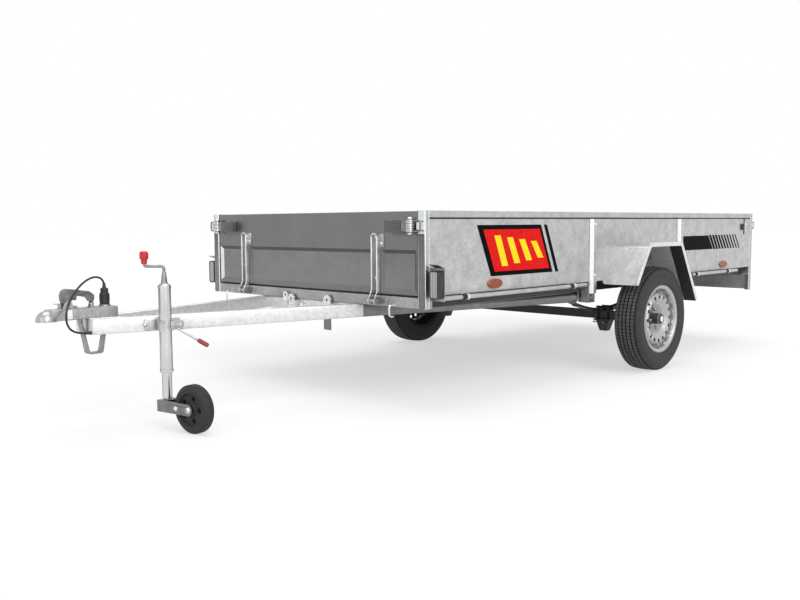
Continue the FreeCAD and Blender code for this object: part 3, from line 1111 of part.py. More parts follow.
hub_outline = ((HUB_BACK, STUB_R + PIN_GAP), (HUB_BACK, HUB_BODY_R), (-20, HUB_BODY_R), (-8, HUB_R),
               (hub_face, HUB_R), (hub_face, HUB_SPIGOT_R), (cap_end, HUB_SPIGOT_R), (cap_end + 8, HUB_CAP_R),
               (cap_end + 8, 0), (HUB_BORE_END, 0), (HUB_BORE_END, STUB_R + PIN_GAP))
add_pair("wheel_hub", turned(hub_outline, centre, across))

os.makedirs("parts", exist_ok=True)
for name, shape in NODES.items():
    if not shape.isValid():
        print("not valid:", name)
    shape.exportStep("parts/" + name + ".step")
print(len(NODES), "nodes; box front", FRONT_X, "axle", AXLE_X, "tip pivot", PIVOT_X, BUSH_Y, PIVOT_Z)
print("jockey", JOCKEY_X, JOCKEY_Y, "wheel", hub_point, "axle direction", axle_dir, "road wheel y", WHEEL_Y)
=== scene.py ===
import bmesh
import bpy
import math
from mathutils import Matrix, Vector


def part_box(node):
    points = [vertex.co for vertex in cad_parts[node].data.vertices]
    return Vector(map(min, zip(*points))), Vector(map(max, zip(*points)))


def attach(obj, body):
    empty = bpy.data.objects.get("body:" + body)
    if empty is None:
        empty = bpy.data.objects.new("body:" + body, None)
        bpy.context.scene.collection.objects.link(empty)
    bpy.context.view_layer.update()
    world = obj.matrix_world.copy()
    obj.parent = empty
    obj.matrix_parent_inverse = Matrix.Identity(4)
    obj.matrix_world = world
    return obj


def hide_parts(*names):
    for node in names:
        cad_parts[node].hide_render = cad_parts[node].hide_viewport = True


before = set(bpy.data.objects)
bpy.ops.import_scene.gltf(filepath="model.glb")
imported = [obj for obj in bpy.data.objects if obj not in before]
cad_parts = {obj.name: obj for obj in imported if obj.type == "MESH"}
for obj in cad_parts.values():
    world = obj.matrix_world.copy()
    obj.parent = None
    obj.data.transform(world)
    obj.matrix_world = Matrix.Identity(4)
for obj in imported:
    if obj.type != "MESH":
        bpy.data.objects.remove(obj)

for spare in ("Cube", "Light", "Camera"):
    if spare in bpy.data.objects:
        bpy.data.objects.remove(bpy.data.objects[spare])
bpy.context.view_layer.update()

# Viewpoint. A 39 mm lens on a 36 mm wide frame stands ahead of the trailer's left front corner, just
# under the height of the top rail, and looks back along the box.
LENS_MM = 39.04
EYE = (3.633, 3.199, 0.800)
HEADING = math.radians(224.5)
DIP = math.radians(5.03)
ROLL = math.radians(-0.32)
lens = bpy.data.cameras.new("viewpoint")
lens.lens = LENS_MM
lens.sensor_width = 36.0
lens.clip_end = 200.0
viewpoint = bpy.data.objects.new("viewpoint", lens)
viewpoint.matrix_world = (Matrix.Translation(EYE) @ Matrix.Rotation(HEADING - math.pi / 2, 4, "Z")
                          @ Matrix.Rotation(math.pi / 2 - DIP, 4, "X") @ Matrix.Rotation(ROLL, 4, "Z"))
bpy.context.scene.collection.objects.link(viewpoint)
bpy.context.scene.camera = viewpoint

# Lead and plug. The lead is an 8 mm round cable with a black PVC sheath that leaves the left arm's open
# end, loops up over the coupling and ends in a moulded nylon plug, parked on a ring on the seat.
LEAD_ROUTE = ((2.116, 0.0511, 0.391), (2.151, 0.0511, 0.391), (2.194, 0.062, 0.405), (2.213, 0.066, 0.430),
              (2.216, 0.064, 0.461), (2.207, 0.058, 0.494), (2.187, 0.049, 0.528), (2.160, 0.040, 0.558),
              (2.129, 0.031, 0.583), (2.095, 0.022, 0.599), (2.063, 0.011, 0.602), (2.039, 0.004, 0.592),
              (2.029, 0.0, 0.574), (2.029, 0.0, 0.556))
LEAD_DIAMETER = 0.008
PLUG_AT = (LEAD_ROUTE[-1][0], 0.0, 0.492)
PLUG_PROFILE = ((0.0, 0.0), (0.0192, 0.0), (0.0192, 0.004), (0.0180, 0.005), (0.0180, 0.008), (0.0190, 0.009),
                (0.0186, 0.040), (0.0176, 0.044), (0.0156, 0.0455), (0.0152, 0.050), (0.0140, 0.051),
                (0.0140, 0.053), (0.0152, 0.054), (0.0150, 0.0620), (0.0130, 0.0638), (0.0085, 0.0640),
                (0.0075, 0.0680), (0.0066, 0.0690), (0.0068, 0.0720), (0.0060, 0.0730), (0.0060, 0.0760),
                (0.0052, 0.0840), (0.0, 0.0840))
RIB_COUNT = 10
RIB_SIZE = (0.0022, 0.003, 0.026)
RIB_PLACE = (0.0184, 0.0, 0.0245)
AHEAD = (1.0, 0.0, 0.0)
UP = (0.0, 0.0, 1.0)
GROMMET = ((0.0041, -0.002), (0.0078, -0.002), (0.0078, 0.0008), (0.0062, 0.0018), (0.0060, 0.006),
           (0.0055, 0.007), (0.0053, 0.012), (0.0050, 0.013), (0.0045, 0.026), (0.0041, 0.026))


def linear(colour):
    """A hex sRGB colour as linear red, green, blue and alpha."""
    parts = [int(colour[i:i + 2], 16) / 255 for i in (1, 3, 5)]
    return [c / 12.92 if c <= 0.04045 else ((c + 0.055) / 1.055) ** 2.4 for c in parts] + [1.0]


def connect(tree, node, sockets):
    """Give a node's inputs their values, or link them from other nodes' sockets."""
    for name, value in sockets.items():
        if isinstance(value, bpy.types.NodeSocket):
            tree.links.new(value, node.inputs[name])
        else:
            node.inputs[name].default_value = value


def add_node(tree, kind, sockets, **settings):
    """Add one shader node with its settings and inputs, and give its outputs."""
    new = tree.nodes.new("ShaderNode" + kind)
    for name, value in settings.items():
        setattr(new, name, value)
    connect(tree, new, sockets)
    return new.outputs


def new_material(name):
    """A material with its node tree, its shader and the object's own coordinates."""
    material = bpy.data.materials.new(name)
    material.use_nodes = True
    tree = material.node_tree
    place = add_node(tree, "TexCoord", {})["Object"]
    return material, tree, tree.nodes["Principled BSDF"], place


def patchy_skin(name, colours, patches, share, grain, relief, gloss):
    """A coloured skin with some patches of a second colour, a fine grain and an uneven gloss."""
    material, tree, shader, place = new_material(name)
    cloud = add_node(tree, "TexNoise", {"Vector": place, "Scale": patches[0], "Detail": patches[1]})
    amount = add_node(tree, "MapRange", {"Value": cloud["Fac"], "From Min": share[0], "From Max": 0.75,
                                         "To Max": share[1]})
    tint = add_node(tree, "Mix", {0: amount["Result"], 6: linear(colours[0]), 7: linear(colours[1])},
                    data_type="RGBA")
    fine = add_node(tree, "TexNoise", {"Vector": place, "Scale": grain[0], "Detail": grain[1]})
    bump = add_node(tree, "Bump", {"Height": fine["Fac"], "Strength": relief[0], "Distance": relief[1]})
    rough = add_node(tree, "MapRange", {"Value": cloud["Fac"], "To Min": gloss[0], "To Max": gloss[1]})
    connect(tree, shader, {"Base Color": tint[2], "Roughness": rough["Result"], "Normal": bump["Normal"],
                           "IOR": 1.5})
    return material


def moulded_plastic(name, colour, worn, roughness, grain_mm):
    """Injection-moulded plastic: an even colour, a fine eroded texture and a few paler rubbed places."""
    return patchy_skin(name, (colour, worn), (38.0, 4.0), (0.45, 0.7), (1000.0 / grain_mm, 2.0),
                       (0.25, 0.0004), (roughness - 0.06, roughness + 0.1))


# PVC sheath: near-black with a soft sheen, and a slightly greyer, rubbed skin on the bends.
sheath_pvc = moulded_plastic("pvc_sheath", "#17181A", "#2A2B2D", 0.42, 3.0)
# Moulded nylon: a duller, warmer black than the lead's, with a fine grain.
plug_nylon = moulded_plastic("moulded_nylon", "#1B1C1E", "#36383A", 0.5, 2.0)

lead_curve = bpy.data.curves.new("lead", "CURVE")
lead_curve.dimensions = "3D"
lead_line = lead_curve.splines.new("NURBS")
lead_line.points.add(len(LEAD_ROUTE) - 1)
for point, (x, y, z) in zip(lead_line.points, LEAD_ROUTE):
    point.co = (x, y, z, 1.0)
lead_line.order_u = 3
lead_line.use_endpoint_u = True
lead_curve.bevel_depth = LEAD_DIAMETER / 2
lead_curve.bevel_resolution = 5
lead_curve.resolution_u = 10
lead_curve.materials.append(sheath_pvc)
lead = bpy.data.objects.new("lead", lead_curve)
bpy.context.scene.collection.objects.link(lead)
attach(lead, "drawbar")
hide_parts("cable")


def finished(shape, name, body, material, sharp=35.0):
    """Make a bmesh a piece that rides on a body, smooth except along its sharp edges."""
    mesh = bpy.data.meshes.new(name)
    shape.to_mesh(mesh)
    shape.free()
    mesh.materials.append(material)
    mesh.shade_smooth()
    mesh.set_sharp_from_angle(angle=math.radians(sharp))
    piece = bpy.data.objects.new(name, mesh)
    bpy.context.scene.collection.objects.link(piece)
    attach(piece, body)
    return piece


def turned(shape, profile, place, steps):
    """Spin an outline of (radius, height) points into a closed solid about the z axis of a place."""
    earlier = set(shape.verts)
    line = [shape.verts.new((radius, 0.0, height)) for radius, height in profile]
    edges = [shape.edges.new(pair) for pair in zip(line, line[1:])]
    if profile[0][0] > 0:
        edges.append(shape.edges.new((line[-1], line[0])))
    bmesh.ops.spin(shape, geom=line + edges, axis=(0, 0, 1), cent=(0, 0, 0), dvec=(0, 0, 0), angle=math.tau,
                   steps=steps, use_merge=True, use_normal_flip=False)
    fresh = [vert for vert in shape.verts if vert not in earlier]
    bmesh.ops.remove_doubles(shape, verts=fresh, dist=1e-6)
    fresh = [vert for vert in fresh if vert.is_valid]
    faces = list({face for vert in fresh for face in vert.link_faces})
    bmesh.ops.recalc_face_normals(shape, faces=faces)
    bmesh.ops.transform(shape, matrix=place, verts=fresh)


def facing(at, axis):
    """The place whose origin is a point and whose z axis points along an axis."""
    turn = Vector(UP).rotation_difference(Vector(axis)).to_matrix().to_4x4()
    return Matrix.Translation(at) @ turn


plug_shape = bmesh.new()
turned(plug_shape, PLUG_PROFILE, Matrix.Translation(PLUG_AT), 48)
for step in range(RIB_COUNT):
    rib = (Matrix.Translation(PLUG_AT) @ Matrix.Rotation(math.tau * step / RIB_COUNT, 4, "Z")
           @ Matrix.Translation(RIB_PLACE) @ Matrix.Diagonal((*RIB_SIZE, 1.0)))
    bmesh.ops.create_cube(plug_shape, size=1.0, matrix=rib)
plug_piece = finished(plug_shape, "plug_shell", "drawbar", plug_nylon)
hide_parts("plug")
grommet_shape = bmesh.new()
turned(grommet_shape, GROMMET, facing(LEAD_ROUTE[0], AHEAD), 24)
finished(grommet_shape, "lead_grommet", "drawbar", sheath_pvc)

# Studio. A white sweep of painted board under soft lamps: broad ones from the left, from above and, more
# weakly, from ahead, and a low one from the left that draws the bright line down round tubes. The floor
# keeps a soft shadow, and metal sees the same white as the lens does.
FLOOR_HALF = 60.0
SHADOW_DEPTH = 0.42
OVERCAST = 0.52
LAMPS = (("side_light", (-0.25, -1.0, -0.75), 1.25, 40.0), ("top_light", (0.05, 0.1, -1.0), 0.9, 50.0),
         ("front_light", (-1.0, -0.35, -0.35), 0.45, 50.0),
         ("strip_light", (-0.24, -0.97, -0.05), 0.26, 24.0))


def seen_directly(tree):
    """One where a lens, a mirror or glass looks at the surface, and nought for scattered light."""
    path = add_node(tree, "LightPath", {})
    first = add_node(tree, "Math", {0: path["Is Camera Ray"], 1: path["Is Glossy Ray"]}, operation="MAXIMUM")
    both = add_node(tree, "Math", {0: first["Value"], 1: path["Is Transmission Ray"]}, operation="MAXIMUM")
    return both["Value"]


# Painted board: plain matt white, with the light that falls on it and no gloss.
board = bpy.data.materials.new("white_painted_board")
board.use_nodes = True
tree = board.node_tree
tree.nodes.remove(tree.nodes["Principled BSDF"])
plain = add_node(tree, "BsdfDiffuse", {"Color": linear("#D8D8D8")})
shaded = add_node(tree, "BsdfDiffuse", {"Color": [SHADOW_DEPTH] * 3 + [1.0]})
lifted = add_node(tree, "Emission", {"Color": linear("#FFFFFF"), "Strength": 1.0 - SHADOW_DEPTH})
sweep = add_node(tree, "AddShader", {0: shaded["BSDF"], 1: lifted["Emission"]})
board_mix = add_node(tree, "MixShader", {0: seen_directly(tree), 1: plain["BSDF"], 2: sweep["Shader"]})
connect(tree, tree.nodes["Material Output"], {"Surface": board_mix["Shader"]})
floor_shape = bmesh.new()
bmesh.ops.create_grid(floor_shape, x_segments=1, y_segments=1, size=FLOOR_HALF)
floor_mesh = bpy.data.meshes.new("studio_floor")
floor_shape.to_mesh(floor_mesh)
floor_shape.free()
floor_mesh.materials.append(board)
studio_floor = bpy.data.objects.new("studio_floor", floor_mesh)
bpy.context.scene.collection.objects.link(studio_floor)

world = bpy.data.worlds.new("studio")
world.use_nodes = True
bpy.context.scene.world = world
tree = world.node_tree
backdrop = add_node(tree, "Background", {"Color": linear("#FFFFFF"), "Strength": 1.0})
overcast = add_node(tree, "Background", {"Color": linear("#FFFFFF"), "Strength": OVERCAST})
world_mix = add_node(tree, "MixShader", {0: seen_directly(tree), 1: overcast["Background"],
                                         2: backdrop["Background"]})
connect(tree, tree.nodes["World Output"], {"Surface": world_mix["Shader"]})
for title, aim, strength, spread in LAMPS:
    lamp = bpy.data.lights.new(title, "SUN")
    lamp.energy = strength
    lamp.angle = math.radians(spread)
    lamp_object = bpy.data.objects.new(title, lamp)
    lamp_object.rotation_euler = Vector(aim).to_track_quat("-Z", "Y").to_euler()
    bpy.context.scene.collection.objects.link(lamp_object)
bpy.context.scene.view_settings.view_transform = "Standard"

# Floor frame. Side members, crossmembers and bearers are folded steel sections, bolted and welded under the
# floor. The crossmembers are hot-dip galvanised; the side members, and the axle with its leaf springs,
# clamped by four nuts a side, are black.
LEFT = (0.0, 1.0, 0.0)
SPANGLE = 0.014
PATCH = 0.16
frame_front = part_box("crossmembers")[1].x
CROSS_BOLTS_Y = (0.54, 0.42)
CROSS_BOLTS_Z = 0.467
SPRING_Y = 0.5778
CLAMP_FOOT_Z = 0.242
NUT_OFFSETS = ((-0.0295, -0.031), (-0.0295, 0.031), (0.0295, -0.031), (0.0295, 0.031))


def middle_of(node):
    """The middle of a CAD node's box."""
    low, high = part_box(node)
    return (low + high) / 2


def galvanised(name, bright, dull, roughness, spangle, patch):
    """Zinc coating: crystals a few millimetres across in slightly different greys, in larger dull patches."""
    material, tree, shader, place = new_material(name)
    crystals = add_node(tree, "TexVoronoi", {"Vector": place, "Scale": 1.0 / spangle})
    tone = add_node(tree, "SeparateColor", {"Color": crystals["Color"]})
    clouds = add_node(tree, "TexNoise", {"Vector": place, "Scale": 1.0 / patch, "Detail": 7.0,
                                         "Roughness": 0.62})
    cloudy = add_node(tree, "MapRange", {"Value": clouds["Fac"], "From Min": 0.3, "From Max": 0.7})
    shade = add_node(tree, "Mix", {0: 0.3, 2: cloudy["Result"], 3: tone["Red"]})
    tint = add_node(tree, "Mix", {0: shade[0], 6: linear(dull), 7: linear(bright)}, data_type="RGBA")
    gloss = add_node(tree, "MapRange", {"Value": tone["Green"], "To Min": roughness - 0.05,
                                        "To Max": roughness + 0.07})
    ripple = add_node(tree, "TexNoise", {"Vector": place, "Scale": 90.0, "Detail": 3.0})
    bump = add_node(tree, "Bump", {"Height": ripple["Fac"], "Strength": 0.12, "Distance": 0.0015})
    connect(tree, shader, {"Base Color": tint[2], "Roughness": gloss["Result"],
                           "Normal": bump["Normal"], "Metallic": 1.0})
    return material


def painted(name, colour, dust, roughness):
    """Sprayed enamel on steel: an even film with orange peel and a thin grey film of road dust."""
    return patchy_skin(name, (colour, dust), (9.0, 6.0), (0.4, 0.6), (420.0, 1.0), (0.2, 0.0003),
                       (roughness - 0.08, roughness + 0.12))


def coat(material, *nodes):
    """Give CAD nodes a finish in place of their plain slot colours."""
    for node in nodes:
        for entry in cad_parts[node].material_slots:
            entry.material = material


def bolt(shape, at, axis, radius):
    """A hexagon bolt head with its washer, seated on a face."""
    place = facing(at, axis)
    turned(shape, ((0.0, 0.0), (radius * 1.3, 0.0), (radius * 1.3, radius * 0.16),
                   (radius * 1.22, radius * 0.22), (0.0, radius * 0.22)), place, 24)
    turned(shape, ((0.0, radius * 0.2), (radius, radius * 0.2), (radius, radius * 0.72),
                   (radius * 0.84, radius * 0.86), (0.0, radius * 0.86)), place, 6)


def bolt_pair(shape, at, axis, radius):
    """The same bolt head on the left and, mirrored, on the right."""
    for side in (1, -1):
        bolt(shape, (at[0], side * at[1], at[2]), (axis[0], side * axis[1], axis[2]), radius)


def rolled_copy(node, radius, least, fold=25.0):
    """A merged copy of a CAD node with its long outer edges rolled over as folding leaves them."""
    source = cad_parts[node]
    shape = bmesh.new()
    shape.from_mesh(source.data)
    bmesh.ops.transform(shape, matrix=source.matrix_world, verts=shape.verts)
    bmesh.ops.remove_doubles(shape, verts=shape.verts, dist=1e-5)
    bmesh.ops.dissolve_limit(shape, angle_limit=math.radians(1.0), verts=shape.verts, edges=shape.edges)
    edges = [e for e in shape.edges if e.is_manifold and e.calc_length() > least
             and e.calc_face_angle_signed() > math.radians(fold)]
    bmesh.ops.bevel(shape, geom=edges, affect="EDGES", offset=radius, segments=3, profile=0.5, material=-1)
    return shape


def stands_for(shape, node, name, body, material, sharp=35.0):
    """Finish a shape and show it in place of a CAD node."""
    piece = finished(shape, name, body, material, sharp)
    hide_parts(node)
    return piece


# Folded galvanised sheet: mid grey, soft reflections, crystals that show only close to.
folded_zinc = galvanised("folded_galvanised_sheet", "#B6B7B7", "#8C8D8D", 0.42, SPANGLE, PATCH)
# Chassis enamel: black gone slightly grey with road dust.
chassis_black = painted("black_chassis_enamel", "#1E1F1F", "#454646", 0.45)
beam_shape = rolled_copy("crossmembers", 0.004, least=0.2)
for y in CROSS_BOLTS_Y:
    bolt_pair(beam_shape, (frame_front + 0.0002, y, CROSS_BOLTS_Z), AHEAD, 0.008)
stands_for(beam_shape, "crossmembers", "folded_crossmembers", "bed", folded_zinc)
coat(folded_zinc, "gate_hinge_ears", "spring_hangers", "tip_pivot_lugs")
coat(chassis_black, "side_members", "axle_beam", "leaf_springs", "wheel_hub_left", "wheel_hub_right",
     "axle_clamps")
wheel_at = middle_of("tyre_left")
nut_shape = bmesh.new()
for ahead, across in NUT_OFFSETS:
    bolt_pair(nut_shape, (wheel_at.x + ahead, SPRING_Y + across, CLAMP_FOOT_Z), (0.0, 0.0, -1.0), 0.0085)
finished(nut_shape, "spring_clamp_nuts", "bed", folded_zinc)

# Load floor. One sheet of birch plywood with a dark phenolic film, pressed with a fine mesh pattern on top,
# laid on the bearers and caught at its edges under the side walls.
MESH_PITCH = 0.0045
# At a scale of 1 a wave texture repeats every 0.31 m.
WAVE_PERIOD = 0.31
# Phenolic film: a dark red-brown, satin skin with a mesh of fine lines and paler scuffs.
film_ply, tree, shader, place = new_material("film_faced_plywood")
mesh_turn = add_node(tree, "Mapping", {"Vector": place, "Rotation": (0.0, 0.0, math.radians(45))})
mesh_scale = {"Vector": mesh_turn["Vector"], "Scale": WAVE_PERIOD / MESH_PITCH}
mesh_x = add_node(tree, "TexWave", mesh_scale, bands_direction="X")
mesh_y = add_node(tree, "TexWave", mesh_scale, bands_direction="Y")
mesh_top = add_node(tree, "Math", {0: mesh_x["Fac"], 1: mesh_y["Fac"]}, operation="MAXIMUM")
mesh_bump = add_node(tree, "Bump", {"Height": mesh_top["Value"], "Strength": 0.35, "Distance": 0.0006})
scuffs = add_node(tree, "TexNoise", {"Vector": place, "Scale": 5.0, "Detail": 8.0})
film_tint = add_node(tree, "Mix", {0: scuffs["Fac"], 6: linear("#3A2A22"),
                                   7: linear("#5A463A")}, data_type="RGBA")
connect(tree, shader, {"Base Color": film_tint[2], "Roughness": 0.5,
                       "Normal": mesh_bump["Normal"], "IOR": 1.5})
coat(film_ply, "floor")

# Side walls. Each is a hollow wall folded from galvanised sheet; hot dipping leaves pale blooms and faint
# streaks. A black rubber bead fills the joint under the rail, turns down the rear corner and ends in a
# rubber stop for the tailgate's latch.
wall_low, wall_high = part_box("side_panels")
BEAD_HEIGHT = 0.0056
BEAD_FOOT = wall_high.z - 0.0058
CORNER_BEAD = ((-2.126, 0.7665, 0.716), (-2.113, 0.7690, BEAD_FOOT + BEAD_HEIGHT))
LATCH_STOP = ((-2.114, 0.7665, 0.746), (-2.066, 0.7730, 0.786))


def block(shape, low, high):
    """Add a sharp-edged block between two corners and give its edges."""
    size = [abs(b - a) for a, b in zip(low, high)]
    middle = [(a + b) / 2 for a, b in zip(low, high)]
    made = bmesh.ops.create_cube(shape, size=1.0,
                                 matrix=Matrix.Translation(middle) @ Matrix.Diagonal((*size, 1.0)))
    return list({edge for vert in made["verts"] for edge in vert.link_edges})


def slab(shape, low, high, edge):
    """A block between two corners with all its edges rounded."""
    bmesh.ops.bevel(shape, geom=block(shape, low, high), affect="EDGES", offset=edge, segments=2, profile=0.5,
                    material=-1)


def slab_pair(shape, low, high, edge):
    """The same rounded block on the left and, mirrored, on the right."""
    for side in (1, -1):
        slab(shape, (low[0], side * low[1], low[2]), (high[0], side * high[1], high[2]), edge)


# Wall sheet: pale grey zinc with whitish blooms a hand's breadth across.
sheet_zinc = galvanised("galvanised_wall_sheet", "#D2D2D2", "#A9AAAA", 0.45, 0.011, 0.07)
coat(sheet_zinc, "side_panels")
# Joint rubber: a dull black line.
joint_rubber = moulded_plastic("joint_rubber", "#0E0F10", "#1C1D1E", 0.6, 2.0)
joint_shape = bmesh.new()
slab_pair(joint_shape, (wall_low.x + 0.002, wall_high.y - 0.0078, BEAD_FOOT),
          (wall_high.x - 0.002, wall_high.y - 0.0006, BEAD_FOOT + BEAD_HEIGHT), 0.001)
slab_pair(joint_shape, *CORNER_BEAD, 0.0006)
slab_pair(joint_shape, *LATCH_STOP, 0.002)
finished(joint_shape, "rail_joint_beads", "bed", joint_rubber)

# Top rails, corner posts and side ribs. Folded from 3 mm sheet and galvanised after folding, so every bend
# is a rounded edge; on the posts and ribs the bends are nearly white as a painted highlight, and the posts'
# faces that look ahead or astern are painted darker as shade. The ribs and posts are bolted and welded to
# the side sheets, and each rear post has a plate with four bolts at its top.
FRONT_PLATE = ((1.0112, 0.733, 0.757), (1.0135, 0.766, 0.823))
REAR_PLATE = ((-2.237, 0.7665, 0.716), (-2.130, 0.7698, 0.800))
REAR_PLATE_BOLTS = ((-2.150, 0.780), (-2.150, 0.737), (-2.215, 0.780), (-2.215, 0.737))
RIB_STATIONS = (-0.256, -1.204)
RIB_BOLTS_Z = (0.53, 0.79)
FLAT = 0.95
BROAD = 0.002


def recoat(piece, material, chosen):
    """Give another finish to the faces of a piece that a test picks out."""
    piece.data.materials.append(material)
    for face in piece.data.polygons:
        if chosen(face):
            face.material_index = len(piece.data.materials) - 1


# Rail sheet: a plain middle grey, smoother than the walls.
rail_zinc = galvanised("galvanised_rail", "#CACBCB", "#ACADAD", 0.38, 0.011, 0.06)
# Painted highlight zinc for bends and edges: nearly white, and the shiniest of the steel.
highlight_zinc = galvanised("painted_highlight_zinc", "#EDEFF0", "#D3D6D8", 0.3, 0.011, 0.05)
# Painted shade on zinc: a dull slate grey, for faces that look ahead or astern and for parts in shade.
shade_zinc = galvanised("painted_shade_zinc", "#888989", "#737474", 0.42, 0.011, 0.08)
stands_for(rolled_copy("top_rails", 0.004, least=0.5), "top_rails", "folded_top_rails", "bed",
           rail_zinc)
post_shape = rolled_copy("corner_posts", 0.0045, least=0.1)
slab_pair(post_shape, *FRONT_PLATE, 0.001)
slab_pair(post_shape, *REAR_PLATE, 0.0012)
for x, z in REAR_PLATE_BOLTS:
    bolt_pair(post_shape, (x, REAR_PLATE[1][1] - 0.0002, z), LEFT, 0.0055)
piece = stands_for(post_shape, "corner_posts", "folded_corner_posts", "bed", highlight_zinc)
# Faces that look ahead or astern are painted darker as shade; the bends stay nearly white, a painted
# highlight.
recoat(piece, shade_zinc, lambda face: abs(face.normal.x) > FLAT and face.area > BROAD)
recoat(piece, rail_zinc, lambda face: abs(face.normal.y) > FLAT and face.area > BROAD)
rib_shape = rolled_copy("side_ribs", 0.005, least=0.1)
for x in RIB_STATIONS:
    for z in RIB_BOLTS_Z:
        bolt_pair(rib_shape, (x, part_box("side_ribs")[1].y, z), LEFT, 0.0055)
piece = stands_for(rib_shape, "side_ribs", "folded_side_ribs", "bed", highlight_zinc)
# The bends stay nearly white, a painted highlight; the broad faces are middle grey.
recoat(piece, rail_zinc, lambda face: face.area > BROAD
       and max(abs(face.normal.x), abs(face.normal.y)) > FLAT)

# Side stripes. Cut vinyl film 0.3 mm thick on both side sheets: a black block with slanted stripes behind it,
# and a group of slanted colour bars ahead, with no words or sign on either.
FILM = 0.0003
FILM_SEAT = 0.0002
BLOCK_LEAN = -0.068
STRIPE_COUNT = 10
STRIPE_FRONT = -1.668
STRIPE_PITCH = 0.0415
STRIPE_WIDTH = 0.031
STRIPE_TAPER = 0.0017
FRAME_LEAN = -0.10
PANEL_LEAN = -0.083
BAR_LEAN = -0.058
BAR_COUNT = 4
BAR_FRONT = 0.495
BAR_PITCH = 0.092
BAR_WIDTH = 0.045
BAR_STEP = 0.01


def adjust(material, sockets):
    """Change a finished material's shader values."""
    connect(material.node_tree, material.node_tree.nodes["Principled BSDF"], sockets)


def vinyl_film(title, colour, worn):
    """Vinyl film: a strong flat colour with hardly any shine."""
    film = moulded_plastic(title + "_vinyl", colour, worn, 0.5, 6.0)
    adjust(film, {"Specular IOR Level": 0.04})
    return film


def stripe(shape, front, rear, foot, top, lean, lift=0.0):
    """A slanted bar of film on both side sheets; its foot stands ahead of its top by the lean."""
    for side in (1, -1):
        place = Matrix(((rear - front, 0.0, -lean, (front + rear - lean) / 2),
                        (0.0, FILM, 0.0, side * (wall_high.y + FILM_SEAT + lift)),
                        (0.0, 0.0, top - foot, (foot + top) / 2), (0.0, 0.0, 0.0, 1.0)))
        bmesh.ops.create_cube(shape, size=1.0, matrix=place)


black_shape = bmesh.new()
stripe(black_shape, -1.262, -1.66, 0.630, 0.716, BLOCK_LEAN)
for index in range(STRIPE_COUNT):
    start = STRIPE_FRONT - STRIPE_PITCH * index
    stripe(black_shape, start, start - STRIPE_WIDTH + STRIPE_TAPER * index, 0.629, 0.718, BLOCK_LEAN)
stripe(black_shape, 0.575, 0.095, 0.562, 0.792, FRAME_LEAN)
stripe(black_shape, 0.072, 0.046, 0.562, 0.792, FRAME_LEAN)
red_shape = bmesh.new()
stripe(red_shape, 0.548, 0.124, 0.582, 0.772, PANEL_LEAN, FILM)
yellow_shape = bmesh.new()
for index in range(BAR_COUNT):
    start = BAR_FRONT - BAR_PITCH * index
    shorter = BAR_STEP * index
    stripe(yellow_shape, start, start - BAR_WIDTH, 0.605 + shorter, 0.745 - shorter, BAR_LEAN, 2 * FILM)
for shape, title, slot, film in (
        (black_shape, "black_side_stripes", "black_plastic", vinyl_film("black", "#040404", "#0E0E0E")),
        (red_shape, "red_side_bars", "red_plastic", vinyl_film("red", "#E11B1B", "#E8302A")),
        (yellow_shape, "yellow_side_bars", "amber_lens", vinyl_film("yellow", "#FFDF1B", "#FFE95C"))):
    bmesh.ops.recalc_face_normals(shape, faces=shape.faces)
    finished(shape, title, "bed", film)

# Mudguards. Bent from galvanised sheet with a turned-in lip, bolted through their inner lips to the wall,
# with a band inside along the outer edge painted black as shade, and a painted highlight on the outer lip.
GUARD_BOLTS = ((-0.12, 0.661), (0.12, 0.661), (0.235, 0.56), (-0.235, 0.54))
GUARD_BOLT_Y = 0.7702
GUARD_INNER_Y = 0.775
SHADED_FROM_Y = 0.895
GUARD_EDGE_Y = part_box("mudguards")[1].y - 0.0015


def scored(shape, at, normal):
    """Cut a shape's faces along a plane, so that each side of the line can have its own finish."""
    bmesh.ops.bisect_plane(shape, geom=shape.verts[:] + shape.edges[:] + shape.faces[:], plane_co=at,
                           plane_no=normal)


def inside_guard(face):
    """Whether a mudguard's face looks in at the wheel."""
    hub = Vector((wheel_at.x, 0.0, wheel_at.z))
    return (abs(face.normal.y) < 0.5 and abs(face.center.y) > GUARD_INNER_Y
            and (hub - face.center).dot(face.normal) > 0.1)


guard_shape = rolled_copy("mudguards", 0.0013, least=0.08)
for ahead, z in GUARD_BOLTS:
    bolt_pair(guard_shape, (wheel_at.x + ahead, GUARD_BOLT_Y, z), LEFT, 0.006)
for side in (1, -1):
    scored(guard_shape, (0.0, side * SHADED_FROM_Y, 0.0), LEFT)
piece = stands_for(guard_shape, "mudguards", "folded_mudguards", "bed", sheet_zinc, 15.0)
# Zinc patina where no rain washes it: a chalky light grey with no shine.
patina = galvanised("weathered_zinc_patina", "#D2D3D3", "#B4B5B5", 0.6, SPANGLE, 0.09)
adjust(patina, {"Metallic": 0.1})
# Painted shade: a rough, dead black, inside the guard along its outer edge.
guard_shade_black = painted("painted_shade_black", "#1C1D1D", "#353636", 0.75)
recoat(piece, patina, inside_guard)
# The outer band inside is painted black as shade; the outer lip gets a painted highlight.
recoat(piece, guard_shade_black, lambda face: inside_guard(face) and abs(face.center.y) > SHADED_FROM_Y)
recoat(piece, highlight_zinc, lambda face: abs(face.center.y) > GUARD_EDGE_Y)

# Gates. Each is one smooth galvanised sheet with three shallow pressings. Their flanks are painted darker as
# shade where they face down or right, one flank at the far end has a painted highlight, and the pressings'
# floors are painted paler as light.
PRESSING_DEPTH = 0.0025


def outer_face(node, out):
    """Where a gate's part ends along x: ahead for out = 1, astern for out = -1."""
    low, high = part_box(node)
    return high.x if out > 0 else low.x


def leans(face):
    """Whether a face slopes as a pressing's flank does."""
    return 0.3 < abs(face.normal.x) < 0.93
